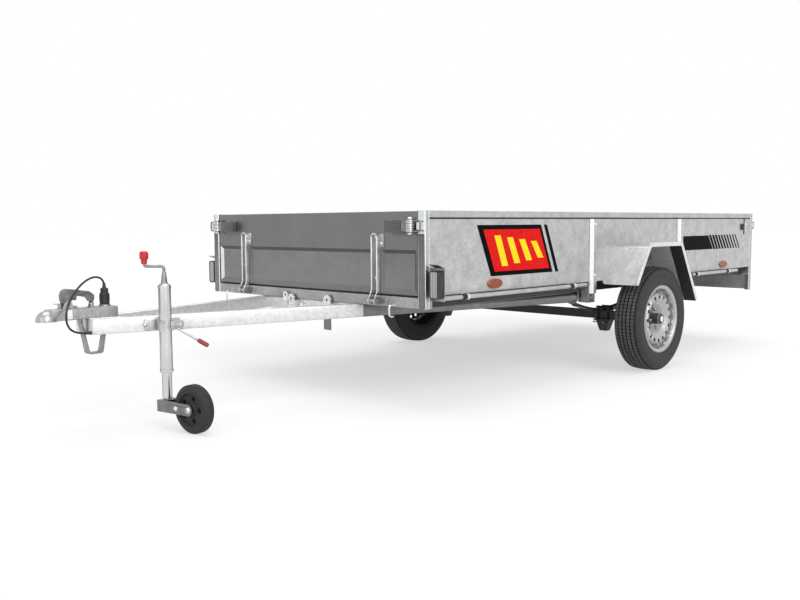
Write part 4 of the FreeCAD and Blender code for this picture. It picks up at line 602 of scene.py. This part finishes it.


# Smooth sheet: an even middle grey, its darkness partly painted shade. The pressings' floors are painted a
# little paler as light, and their flanks painted darker as shade.
gate_zinc = galvanised("smooth_gate_sheet", "#818181", "#757575", 0.44, 0.006, 0.3)
recess_light_zinc = galvanised("painted_light_pressing", "#8A8A8A", "#7A7A7A", 0.4, 0.006, 0.12)
flank_shade_zinc = galvanised("painted_shade_flank", "#5E5E5E", "#525252", 0.5, 0.006, 0.3)
for node, title, out in (("front_gate", "pressed_front_gate", 1), ("tailgate", "pressed_tailgate", -1)):
    floor_x = outer_face(node, out) * out - PRESSING_DEPTH
    piece = stands_for(rolled_copy(node, 0.0025, least=0.08), node, title, node, gate_zinc)
    # Painted shade on flanks facing down or right, a painted highlight on one far flank, painted light on the
    # floors.
    recoat(piece, flank_shade_zinc, lambda face: leans(face) and min(face.normal.y, face.normal.z) < -0.3)
    recoat(piece, highlight_zinc, lambda face: leans(face) and face.normal.y > 0.3 and face.center.y < -0.6)
    recoat(piece, recess_light_zinc, lambda face: face.normal.x * out > 0.93 and face.center.x * out < floor_x)

# Gate straps. Plated channels bolted up the gate's face, with bright rolled lips, a web painted darker as
# shade, and a folded tab beside each one's upper end.
STRAP_Y = 0.48
TAB = ((0.0006, 0.0205, 0.700), (0.0045, 0.043, 0.757))
TAB_BOLT = (0.032, 0.716)
STRAP_BOLTS_Z = (0.565, 0.742)
LIP = ((0.0172, 0.0205, 0.512), (0.0198, 0.0125, 0.742))
# Zinc plating: almost white, with a bright, narrow shine.
plated = galvanised("zinc_plated_fittings", "#F2F3F3", "#CFD0D0", 0.3, 0.05, 0.03)
for node, body, title, out in (("front_gate_straps", "front_gate", "front_channel_straps", 1),
                               ("tailgate_straps", "tailgate", "rear_channel_straps", -1)):
    face_x = outer_face(body, out)
    strap_shape = rolled_copy(node, 0.0015, least=0.03)
    for middle in (STRAP_Y, -STRAP_Y):
        slab(strap_shape, *[(face_x + out * x, middle + y, z) for x, y, z in TAB], 0.0012)
        for z in STRAP_BOLTS_Z:
            bolt(strap_shape, (face_x + out * 0.004, middle, z), (out, 0.0, 0.0), 0.0065)
        bolt(strap_shape, (face_x + out * TAB[1][0], middle + TAB_BOLT[0], TAB_BOLT[1]),
             (out, 0.0, 0.0), 0.0055)
        for edge in (-1, 1):
            slab(strap_shape, *[(face_x + out * x, middle + edge * y, z) for x, y, z in LIP], 0.0011)
    piece = stands_for(strap_shape, node, title, body, plated)
    # The channel's web is painted darker, as shade inside the channel.
    recoat(piece, folded_zinc, lambda face: face.normal.x * out > 0.9 and face.area > 0.0006
           and (face.center.x - face_x) * out < 0.008)

# Gate latches. Over-centre latches: a plated base, a barrel wound with a spring, a wire bail round the
# post's keeper, and a dark painted lever plate, closed at its end and stiffened by a pressed rib.
BARREL_Y = 0.703
COIL_COUNT = 7
COIL_PITCH = 0.007
COIL_WIRE = 0.0023
BARREL_CAP = ((0.0, 0.0), (0.0100, 0.0), (0.0100, 0.004), (0.0075, 0.0062), (0.0, 0.0065))
LEVER_PARTS = (((0.0061, 0.558, -0.028), (0.0081, 0.656, 0.024), 0.0008),
               ((-0.0180, 0.558, -0.026), (0.0070, 0.560, 0.022), 0.0006),
               ((0.0078, 0.575, -0.008), (0.0100, 0.650, 0.006), 0.0010))
# Worn plating: patchy greys and small hard highlights.
latch_zinc = galvanised("worn_plated_latch", "#9A9B9C", "#6A6B6C", 0.24, 0.02, 0.012)
# Lever enamel: a dark grey, slightly glossy.
lever_grey = painted("lever_enamel", "#525354", "#707172", 0.4)
coat(latch_zinc, "front_gate_latches", "tailgate_latches")
for body, title, barrel_x, barrel_z, out, coil in (("front_gate", "front_latch", 1.032, 0.790, 1, 0.0155),
                                                   ("tailgate", "rear_latch", -2.288, 0.776, -1, 0.0105)):
    spring_shape = bmesh.new()
    wire = [(coil + COIL_WIRE * math.cos(math.tau * i / 8), COIL_WIRE * math.sin(math.tau * i / 8))
            for i in range(8)]
    for side in (1, -1):
        for index in range(COIL_COUNT):
            z = barrel_z + COIL_PITCH * (index - (COIL_COUNT - 1) / 2)
            turned(spring_shape, wire, Matrix.Translation((barrel_x, side * BARREL_Y, z)), 20)
        for end in (1, -1):
            turned(spring_shape, BARREL_CAP, facing((barrel_x, side * BARREL_Y, barrel_z + end * 0.030),
                                                    (0.0, 0.0, end)), 18)
    lever_shape = bmesh.new()
    for low, high, edge in LEVER_PARTS:
        slab_pair(lever_shape, *[(barrel_x + out * x, y, barrel_z + z) for x, y, z in (low, high)], edge)
    finished(spring_shape, title + "_springs", body, plated)
    finished(lever_shape, title + "_lever_plates", body, lever_grey)
coat(plated, "rope_hooks", "drawbar_eye_bolt")

# Front lamps. A black polypropylene body with a raised rim holds a fluted clear lens; a folded galvanised
# hood stands over it.
lamp_low, lamp_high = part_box("front_lamps")
LAMP_INNER_Y = 0.785
LAMP_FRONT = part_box("front_lamp_lenses")[1].x
LAMP_ROUND = 0.011
RIM_WIDTH = 0.0035
RIM_DEPTH = 0.0045
LENS_INSET = 0.0042
ASTERN = (-1.0, 0.0, 0.0)
HOOD_BOLT = (0.9618, 0.7775, 0.50)


def lens_acrylic(name, colour, glint, pitch_mm):
    """Acrylic lens: coloured all through, with a glossy skin over fine moulded ribs that carry a painted
    glint.
    """
    material, tree, shader, place = new_material(name)
    ribs = add_node(tree, "TexWave", {"Vector": place, "Scale": 1000.0 * WAVE_PERIOD / pitch_mm},
                    bands_direction="Y")
    # The ribs are mixed towards the glint colour: a painted glint.
    tint = add_node(tree, "Mix", {0: ribs["Fac"], 6: linear(colour), 7: linear(glint)}, data_type="RGBA")
    bump = add_node(tree, "Bump", {"Height": ribs["Fac"], "Strength": 0.4, "Distance": 0.001})
    connect(tree, shader, {"Base Color": tint[2], "Roughness": 0.12, "Normal": bump["Normal"],
                           "IOR": 1.49, "Coat Weight": 0.15, "Coat Roughness": 0.05})
    return material


# Lamp body: black plastic, a little grey on its edges.
lamp_nylon = moulded_plastic("lamp_body_nylon", "#232426", "#3A3C3E", 0.45, 3.0)
# Clear acrylic over a plain reflector: grey, with a painted glint on its upright flutes.
clear_acrylic = lens_acrylic("clear_acrylic", "#787A7B", "#C4C6C7", 9.0)
body_shape = bmesh.new()
for side in (1, -1):
    edges = block(body_shape, (lamp_low.x, side * LAMP_INNER_Y, lamp_low.z),
                  (LAMP_FRONT + 0.0005, side * lamp_high.y, lamp_high.z))
    lengthwise = [e for e in edges if abs((e.verts[0].co - e.verts[1].co).x) > 0.03]
    rounded = bmesh.ops.bevel(body_shape, geom=lengthwise, affect="EDGES", offset=LAMP_ROUND, segments=5,
                              profile=0.5, material=-1)
    front = list({face for vert in rounded["verts"] for face in vert.link_faces if face.normal.x > 0.9})
    bmesh.ops.inset_region(body_shape, faces=front, thickness=RIM_WIDTH, depth=0.0)
    bmesh.ops.inset_region(body_shape, faces=front, thickness=0.0005, depth=-RIM_DEPTH)
lens_shape = bmesh.new()
slab_pair(lens_shape, (lamp_high.x - 0.0002, LAMP_INNER_Y + LENS_INSET, lamp_low.z + LENS_INSET),
          (LAMP_FRONT - 0.0004, lamp_high.y - LENS_INSET, lamp_high.z - LENS_INSET), 0.0018)
stands_for(body_shape, "front_lamps", "front_lamp_bodies", "bed", lamp_nylon)
stands_for(lens_shape, "front_lamp_lenses", "front_lamp_fluted_lenses", "bed", clear_acrylic)
hood_shape = rolled_copy("front_lamp_brackets", 0.0012, least=0.03)
bolt_pair(hood_shape, HOOD_BOLT, ASTERN, 0.005)
stands_for(hood_shape, "front_lamp_brackets", "front_lamp_hoods", "bed", folded_zinc)

# Side reflectors and tail lamps. The reflectors are oval amber acrylic; each tail lamp is a black base with
# amber, red and clear sections, screwed to the folded light board under the tailgate.

# Amber and red acrylic: deep colours with a painted glint on their ribs.
amber_acrylic = lens_acrylic("amber_acrylic", "#8C3A10", "#AE5A22", 5.0)
red_acrylic = lens_acrylic("red_acrylic", "#8E0F12", "#C22A2A", 6.0)
coat(amber_acrylic, "side_markers")
tail_low, tail_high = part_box("tail_lamps")
TAIL_INNER_Y = 0.560
SECTION_REAR = tail_low.x + 0.0002
SECTION_SEAT = tail_low.x + 0.0105
SECTION_INSET = 0.004
TAIL_SECTIONS = (("red", 0.564, 0.622, "red_lens", red_acrylic),
                 ("amber", 0.658, 0.696, "amber_lens", amber_acrylic),
                 ("clear", 0.626, 0.654, "clear_lens", clear_acrylic))
BOARD_BOLTS_Y = (-0.69, -0.35, 0.0, 0.35, 0.69)
BOARD_BOLTS_Z = 0.474
base_shape = bmesh.new()
slab_pair(base_shape, (tail_high.x - 0.0002, TAIL_INNER_Y, tail_low.z),
          (tail_low.x + 0.010, tail_high.y, tail_high.z), 0.004)
stands_for(base_shape, "tail_lamps", "tail_lamp_bases", "bed", lamp_nylon)
for title, inner, outer, slot, acrylic in TAIL_SECTIONS:
    section = bmesh.new()
    slab_pair(section, (SECTION_SEAT, inner, tail_low.z + SECTION_INSET),
              (SECTION_REAR, outer, tail_high.z - SECTION_INSET), 0.004)
    finished(section, "tail_lamp_" + title, "bed", acrylic)
# Light board: bright zinc behind, chalky patina on the face that stands in the box's shade.
board_zinc = galvanised("light_board_zinc", "#E2E4E5", "#BFC2C4", 0.45, SPANGLE, PATCH)
board_shape = rolled_copy("light_board", 0.0013, least=0.1)
for y in BOARD_BOLTS_Y:
    bolt(board_shape, (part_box("light_board")[0].x - 0.0002, y, BOARD_BOLTS_Z), ASTERN, 0.006)
piece = stands_for(board_shape, "light_board", "folded_light_board", "bed", board_zinc)
recoat(piece, patina, lambda face: face.normal.x > 0.9)

# Tarpaulin rails. Round galvanised bar in bright welded lugs, with a black rubber sleeve beside each lug.
RAIL_LUGS_X = (0.776, -0.045, -1.389, -1.824)
TARP_RAIL_Y = 0.797
TARP_RAIL_Z = 0.486
SLEEVE = ((0.0096, 0.0), (0.0125, 0.0), (0.0132, 0.003), (0.0132, 0.020), (0.0118, 0.024), (0.0096, 0.024))
# The lugs are nearly white, a painted highlight.
coat(highlight_zinc, "tarp_rail_lugs")
coat(rail_zinc, "tarp_rails")
sleeve_shape = bmesh.new()
for side in (1, -1):
    for x in RAIL_LUGS_X:
        at = (x + 0.0105, side * TARP_RAIL_Y, TARP_RAIL_Z)
        turned(sleeve_shape, SLEEVE, facing(at, AHEAD), 24)
finished(sleeve_shape, "tarp_rail_sleeves", "bed", joint_rubber)

# Drawbar. Two square tubes with rounded corners, galvanised after welding: thick bright zinc with pale
# blotches, painted darker as shade where the box shades them, and rippled weld beads where the head and the
# cross tube meet them. Plates bolted to the cross tube latch the bed down; their tags below the arms are
# painted darker as shade.
ARM_TAIL_X = 0.985
HEAD_SEAM = ((2.111, 0.0320), (1.992, 0.0625))
HEAD_WELDS_Z = (0.3845, 0.4430)
CROSS_WELD = (0.9965, 0.322)
CROSS_WELD_Z = (0.385, 0.442)
TAG_TOP = 0.388
SIDES = ((1, "left"), (-1, "right"))
TIP_BOLTS = ((0.160, 0.395), (-0.147, 0.430), (-0.104, 0.414))
TIP_PLATE_X = 1.0241


def weld(shape, start, end, radius):
    """A rippled fillet weld between two points, half sunk in the steel."""
    run = Vector(end) - Vector(start)
    count = max(3, round(run.length / 0.004))
    line = [(radius * (1.0 if i % 2 else 0.8), run.length * (i + 0.5) / count) for i in range(count)]
    turned(shape, [(0.0, 0.0)] + line + [(0.0, run.length)], facing(start, run), 10)


# Thick dipped zinc: the palest metal of all, with cloudy blotches a thumb wide.
arm_zinc = galvanised("fresh_dipped_zinc", "#EBEBEB", "#CBCCCC", 0.5, 0.012, 0.022)
for side, title in SIDES:
    arm_shape = rolled_copy("drawbar_arm_" + title, 0.006, least=0.05)
    for z in HEAD_WELDS_Z:
        weld(arm_shape, *[(x, side * y, z) for x, y in HEAD_SEAM], 0.0028)
    weld(arm_shape, *[(CROSS_WELD[0], side * CROSS_WELD[1], z) for z in CROSS_WELD_Z], 0.003)
    scored(arm_shape, (ARM_TAIL_X, 0.0, 0.0), AHEAD)
    piece = stands_for(arm_shape, "drawbar_arm_" + title, "round_cornered_arm_" + title, "drawbar",
                       arm_zinc)
    # The arm's tail under the box is painted darker as shade.
    recoat(piece, shade_zinc, lambda face: face.center.x < ARM_TAIL_X)
for node, title, edge in (("drawbar_cross_tube", "round_cornered_cross_tube", 0.005),
                          ("drawbar_head", "rounded_drawbar_head", 0.003)):
    stands_for(rolled_copy(node, edge, least=0.05), node, title, "drawbar", arm_zinc)
tip_shape = rolled_copy("tip_latches", 0.0015, least=0.01)
scored(tip_shape, (0.0, 0.0, TAG_TOP), UP)
for y, z in TIP_BOLTS:
    bolt(tip_shape, (TIP_PLATE_X, y, z), AHEAD, 0.0085)
piece = stands_for(tip_shape, "tip_latches", "tip_latch_plates", "drawbar", plated)
# The tag below the arm is painted darker as shade.
recoat(piece, shade_zinc, lambda face: face.center.z < TAG_TOP)

# Coupling. A pressed channel and ball cup, bolted down through the seat, with a grey cast handle; the seat
# block behind it is folded sheet, and a blank white label is stuck on the channel's left side.
SEAT_WELD = (1.9925, 0.036, 0.444)
CHANNEL_TOP = 0.486
FRONT_BOLT_X = 2.150
REAR_BOLT_X = 2.085
BOLT_TIP = ((0.0, 0.010), (0.0105, 0.010), (0.0100, 0.016), (0.0065, 0.0205), (0.0, 0.022))
CATCH_POST = ((2.209, -0.012, 0.484), (2.213, 0.012, 0.507))
CATCH_TONGUE = ((2.213, -0.012, 0.5035), (2.228, 0.012, 0.507))
LABEL = ((2.176, 0.0341, 0.448), (2.195, 0.0346, 0.483))
HANDLE_PAD = ((2.106, 0.0152, 0.5385), (2.147, 0.0172, 0.5475))
HANDLE_PIVOT = (2.183, 0.0158, 0.503)
PIVOT_HEAD = ((0.0, 0.0), (0.0085, 0.0), (0.0085, 0.004), (0.0060, 0.006), (0.0, 0.0062))
# Pressed zinc: middle grey with darker clouds and a clear shine on its bends.
coupling_zinc = galvanised("pressed_coupling_zinc", "#C4C5C5", "#969797", 0.33, 0.012, 0.018)
# Label film: blank, satin white.
label_film = moulded_plastic("blank_label_film", "#FBFBFB", "#FFFFFF", 0.5, 6.0)
# Cast handle: dark grey, rubbed pale where hands hold it.
handle_grey = moulded_plastic("grey_cast_handle", "#5C5D5E", "#9C9D9E", 0.34, 3.0)
seat_shape = rolled_copy("coupling_seat", 0.003, least=0.02)
weld(seat_shape, *[(SEAT_WELD[0], side * SEAT_WELD[1], SEAT_WELD[2]) for side in (-1, 1)], 0.003)
stands_for(seat_shape, "coupling_seat", "folded_coupling_seat", "drawbar", folded_zinc)
channel_shape = rolled_copy("coupling_body", 0.004, least=0.05)
bolt(channel_shape, (FRONT_BOLT_X, 0.0, CHANNEL_TOP), UP, 0.010)
bolt(channel_shape, (REAR_BOLT_X, 0.0, CHANNEL_TOP), UP, 0.012)
turned(channel_shape, BOLT_TIP, Matrix.Translation((REAR_BOLT_X, 0.0, CHANNEL_TOP)), 24)
slab(channel_shape, *CATCH_POST, 0.001)
slab(channel_shape, *CATCH_TONGUE, 0.001)
stands_for(channel_shape, "coupling_body", "pressed_coupling", "drawbar", coupling_zinc)
label_shape = bmesh.new()
slab(label_shape, *LABEL, 0.0002)
finished(label_shape, "blank_label", "drawbar", label_film)
handle_shape = rolled_copy("coupling_handle", 0.003, least=0.008, fold=50.0)
slab(handle_shape, *HANDLE_PAD, 0.0008)
for side in (1, -1):
    at = (HANDLE_PIVOT[0], side * HANDLE_PIVOT[1], HANDLE_PIVOT[2])
    turned(handle_shape, PIVOT_HEAD, facing(at, (0.0, side, 0.0)), 24)
stands_for(handle_shape, "coupling_handle", "cast_handle", "coupling_handle", handle_grey)

# Parking foot. A flat bar bent to a stirrup and welded under the coupling's seat.
FOOT_WELD = (2.134, 0.018, 0.4425)
# Flat bar: a shade darker than the seat above it.
foot_zinc = galvanised("darker_flat_bar", "#A6A7A7", "#7B7C7C", 0.4, 0.012, 0.02)
foot_shape = rolled_copy("parking_foot", 0.0015, least=0.01)
weld(foot_shape, *[(FOOT_WELD[0], side * FOOT_WELD[1], FOOT_WELD[2]) for side in (-1, 1)], 0.003)
stands_for(foot_shape, "parking_foot", "bent_parking_foot", "drawbar", foot_zinc)

# Jockey clamp. A split band on a plate bolted to the left arm, closed by two ears with a screw lever; the
# plate is galvanised, the band a little darker.
ARM_SPLAY = 0.26
ARM_FRONT = (2.116, 0.0511)
CLAMP_Z = 0.410
EARS_Y = (0.199, 0.214)
EAR = ((1.815, 0.0, 0.393), (1.868, 0.006, 0.427))
EAR_BOLT = (1.826, 0.220, CLAMP_Z)
PLATE_OUT = 0.0285
PLATE_BOLT_AHEAD = 0.052
# Clamp zinc: bright faces and greyer bends.
clamp_zinc = galvanised("galvanised_clamp", "#CFD0D0", "#969797", 0.35, 0.012, 0.016)
post_at = middle_of("jockey_post")
arm_out = Vector((ARM_SPLAY, 1.0, 0.0)).normalized()
arm_ahead = Vector((1.0, -ARM_SPLAY, 0.0)).normalized()
clamp_shape = rolled_copy("jockey_clamp", 0.002, least=0.02)
for ear_y in EARS_Y:
    slab(clamp_shape, *[(x, ear_y + y, z) for x, y, z in EAR], 0.0015)
bolt(clamp_shape, EAR_BOLT, LEFT, 0.0095)
arm_middle = Vector((post_at.x, ARM_FRONT[1] + ARM_SPLAY * (ARM_FRONT[0] - post_at.x), CLAMP_Z))
bolt(clamp_shape, arm_middle + arm_out * PLATE_OUT + arm_ahead * PLATE_BOLT_AHEAD, arm_out, 0.0055)
stands_for(clamp_shape, "jockey_clamp", "jockey_clamp_band", "drawbar", clamp_zinc)

# Jockey wheel. Plated outer and inner tubes with a pressed cap and a crank, a plated plate fork, red plastic
# knob and grip, and a solid rubber wheel on a bolt with domed ends.
FOOT_RING = ((0.0241, 0.0), (0.0262, 0.001), (0.0262, 0.010), (0.0241, 0.011))
FOOT_RING_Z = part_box("jockey_post")[0].z + 0.002
FORK_TURN = math.radians(10.0)
AXLE_HALF = 0.0345
FORK_BOLT = (0.0115, -0.0652, 0.0)
DOME = ((0.0, 0.0), (0.0125, 0.0), (0.0120, 0.002), (0.0098, 0.0045), (0.0060, 0.0062), (0.0, 0.0068))
# Bright plating: a pale, smooth tube that darkens towards its edges.
bright_tube = galvanised("bright_plated_tube", "#D6D7D8", "#C6C7C8", 0.2, 0.05, 0.12)
adjust(bright_tube, {"Specular Tint": linear("#3A3B3C")})
# Crank and fork: duller plating, middle to dark grey.
crank_steel = galvanised("dull_crank_rod", "#A2A3A4", "#808182", 0.33, 0.02, 0.03)
fork_steel = galvanised("plated_fork_plate", "#8B8D8F", "#6B6D6F", 0.32, 0.02, 0.03)
# Red plastic: glossy on the knob, and faded by the sun on the lever's grip.
red_knob = moulded_plastic("red_plastic", "#C8102E", "#D8394F", 0.3, 3.0)
faded_red = moulded_plastic("faded_red_plastic", "#94303A", "#B25560", 0.4, 3.0)
# Solid rubber: matt, just off black.
solid_rubber = moulded_plastic("solid_rubber", "#1E1F20", "#333435", 0.7, 2.0)
coat(bright_tube, "jockey_post", "jockey_leg")
coat(crank_steel, "jockey_crank")
coat(red_knob, "crank_knob")
coat(faded_red, "clamp_grip")
coat(solid_rubber, "jockey_wheel")
ring_shape = bmesh.new()
turned(ring_shape, FOOT_RING, Matrix.Translation((post_at.x, post_at.y, FOOT_RING_Z)), 40)
finished(ring_shape, "tube_foot_ring", "jockey_post", bright_tube)
fork_shape = rolled_copy("jockey_fork", 0.0015, least=0.02)
stands_for(fork_shape, "jockey_fork", "rounded_jockey_fork", "jockey_fork", fork_steel)
axle_along = Vector((math.cos(FORK_TURN), math.sin(FORK_TURN), 0.0))
end_shape = bmesh.new()
for side in (1, -1):
    axle_end = middle_of("jockey_wheel") + axle_along * side * AXLE_HALF
    turned(end_shape, DOME, facing(axle_end, axle_along * side), 24)
    bolt(end_shape, axle_end + Vector(FORK_BOLT), axle_along * side, 0.007)
finished(end_shape, "jockey_axle_ends", "jockey_fork", plated)

# Tyres. Vulcanised black rubber with five rows of tread blocks between four grooves, lugs along the
# shoulders and raised rings on the side walls.
HALF_TYRE = ((0.1683, 0.0557), (0.1828, 0.0597), (0.1835, 0.0640), (0.1860, 0.0662), (0.1895, 0.0664),
             (0.1960, 0.0680), (0.1975, 0.0698), (0.1995, 0.0690), (0.2100, 0.0705), (0.2260, 0.0718),
             (0.2350, 0.0716), (0.2362, 0.0725), (0.2385, 0.0725), (0.2395, 0.0712), (0.2420, 0.0710),
             (0.2500, 0.0688), (0.2590, 0.0652), (0.2692, 0.0585), (0.2712, 0.0555))
TREAD = ((0.0545, 0.0360), (0.0320, 0.0125), (0.0085, -0.0085), (-0.0125, -0.0320), (-0.0360, -0.0545))
LINER = ((0.1683, 0.0440), (0.2220, 0.0605), (0.2400, 0.0595), (0.2605, 0.0485))
LINER_CROWN = 0.2665
GROOVE_R = 0.2743
BLOCK_HEIGHT = 0.0062
LUG_HEIGHT = 0.0022
PITCHES = 96
TREAD_HALF = 0.0555
# Side wall rubber: a soft, slightly brown black.
tyre_rubber = moulded_plastic("tyre_rubber", "#252626", "#3A3B3B", 0.66, 2.0)
# Tread tops are scuffed to dark grey; the grooves between them are painted blacker than the side wall, as
# shade.
worn_rubber = moulded_plastic("worn_tread_rubber", "#4E4F4F", "#686969", 0.7, 2.0)
groove_shade_rubber = moulded_plastic("groove_shade_rubber", "#0C0C0C", "#161616", 0.8, 2.0)


def crown(across):
    """Radius of the groove floor at a place across the tread."""
    return GROOVE_R - 0.0030 * max(0.0, abs(across) - 0.020) / 0.0345


outline = [(radius, -across) for radius, across in HALF_TYRE]
for start, end in TREAD[::-1]:
    outline += [(crown(end), end), (crown(start), start)]
outline += HALF_TYRE[::-1]
outline += LINER
outline += [(LINER_CROWN, 0.0)]
outline += [(radius, -across) for radius, across in LINER[::-1]]
for side, title in SIDES:
    hub = Vector((wheel_at.x, side * wheel_at.y, wheel_at.z))
    tyre_shape = bmesh.new()
    turned(tyre_shape, outline, Matrix(), PITCHES)
    blocks = []
    lugs = []
    for face in tyre_shape.faces:
        spot = face.calc_center_median()
        out = math.hypot(spot.x, spot.y)
        if (out > 0.2695 and any(end < spot.z < start for start, end in TREAD)
            and abs(face.normal.z) < 0.5 and face.calc_area() > 0.0002):
            blocks.append(face)
        elif out > 0.262 and abs(spot.z) > TREAD_HALF and abs(face.normal.z) < 0.9:
            lugs.append(face)
    bmesh.ops.inset_individual(tyre_shape, faces=blocks, thickness=0.0017, depth=BLOCK_HEIGHT)
    bmesh.ops.inset_individual(tyre_shape, faces=lugs, thickness=0.0018, depth=LUG_HEIGHT)
    # Grooves and block sides are painted blacker as shade; block tops are scuffed grey.
    for face in tyre_shape.faces:
        spot = face.calc_center_median()
        if math.hypot(spot.x, spot.y) > 0.2685 and abs(spot.z) < TREAD_HALF:
            face.material_index = 2
    for face in blocks:
        face.material_index = 1
    bmesh.ops.transform(tyre_shape, matrix=facing(hub, (0.0, side, 0.0)), verts=tyre_shape.verts)
    piece = stands_for(tyre_shape, "tyre_" + title, "treaded_tyre_" + title, "wheel_" + title,
                       tyre_rubber)
    piece.data.materials.append(worn_rubber)
    piece.data.materials.append(groove_shade_rubber)

# Wheels. Pressed steel in silver lacquer, held by four bolts, with a plated dust cap pressed over the black
# hub and a rubber valve in the rim.
DISH_R = 0.080
BARREL_INSIDE = 0.020
WHEEL_BOLT_CIRCLE = 0.050
WHEEL_BOLT_TURN = math.radians(82)
WHEEL_BOLT_Y = 0.9068
DUST_CAP_Y = 0.9363
DUST_CAP = ((0.0, 0.0), (0.0300, 0.0), (0.0300, 0.0016), (0.0236, 0.0026), (0.0226, 0.0080), (0.0196, 0.0098),
            (0.0110, 0.0108), (0.0, 0.0110))
VALVE_CIRCLE = 0.148
VALVE_TURN = math.radians(38)
VALVE_LEAN = 0.35
VALVE_Y = 0.905
VALVE = ((0.0, 0.0), (0.0062, 0.0), (0.0056, 0.008), (0.0040, 0.010), (0.0040, 0.022), (0.0050, 0.0225),
         (0.0050, 0.030), (0.0040, 0.032), (0.0, 0.032))
# Silver lacquer: a pale grey with a fine metal sparkle under a thin clear coat.
rim_silver, tree, shader, place = new_material("silver_wheel_lacquer")
flakes = add_node(tree, "TexVoronoi", {"Vector": place, "Scale": 2200.0})
flake_tone = add_node(tree, "SeparateColor", {"Color": flakes["Color"]})
flake_tint = add_node(tree, "Mix", {0: flake_tone["Red"], 6: linear("#A4A5A5"),
                                    7: linear("#BDBEBE")}, data_type="RGBA")
connect(tree, shader, {"Base Color": flake_tint[2], "Metallic": 0.55, "Roughness": 0.3,
                       "Coat Weight": 0.25, "Coat Roughness": 0.12})
# Painted shade inside the barrel and on the wheel's inboard faces: flat black. The dished middle is a greyer,
# more mirror-like silver.
barrel_shade_black = painted("painted_shade_rim_black", "#121313", "#2A2B2B", 0.7)
dished_silver = galvanised("dished_wheel_centre", "#A9AAAA", "#8B8C8C", 0.34, 0.02, 0.03)


def around_hub(side, circle, turn, y):
    """A point on a circle round the hub, on one side of the trailer."""
    return Vector((wheel_at.x + circle * math.cos(turn), side * y, wheel_at.z + circle * math.sin(turn)))


for side, title in SIDES:
    piece = stands_for(rolled_copy("wheel_rim_" + title, 0.0008, least=9.0), "wheel_rim_" + title,
                       "pressed_wheel_" + title, "wheel_" + title, rim_silver)
    recoat(piece, dished_silver, lambda face: face.normal.y * side > 0.3
           and math.hypot(face.center.x - wheel_at.x, face.center.z - wheel_at.z) < DISH_R)
    # Inboard faces and the barrel's inside are painted black as shade.
    recoat(piece, barrel_shade_black, lambda face: face.normal.y * side < -0.3
           or abs(face.center.y) < wheel_at.y + BARREL_INSIDE and face.normal.y * side < 0.5)
for side, title in SIDES:
    outwards = Vector((0.0, side, 0.0))
    bolt_shape = bmesh.new()
    for quarter in range(4):
        turn = WHEEL_BOLT_TURN + quarter * math.pi / 2
        bolt(bolt_shape, around_hub(side, WHEEL_BOLT_CIRCLE, turn, WHEEL_BOLT_Y), outwards, 0.0085)
    finished(bolt_shape, "wheel_bolts_" + title, "wheel_" + title, crank_steel)
    cap_shape = bmesh.new()
    turned(cap_shape, DUST_CAP, facing(around_hub(side, 0.0, 0.0, DUST_CAP_Y), outwards), 36)
    finished(cap_shape, "dust_cap_" + title, "wheel_" + title, plated)
    valve_shape = bmesh.new()
    inwards = Vector((-math.cos(VALVE_TURN), 0.0, -math.sin(VALVE_TURN)))
    turned(valve_shape, VALVE, facing(around_hub(side, VALVE_CIRCLE, VALVE_TURN, VALVE_Y),
                                      outwards + inwards * VALVE_LEAN), 16)
    finished(valve_shape, "tyre_valve_" + title, "wheel_" + title, sheath_pvc)
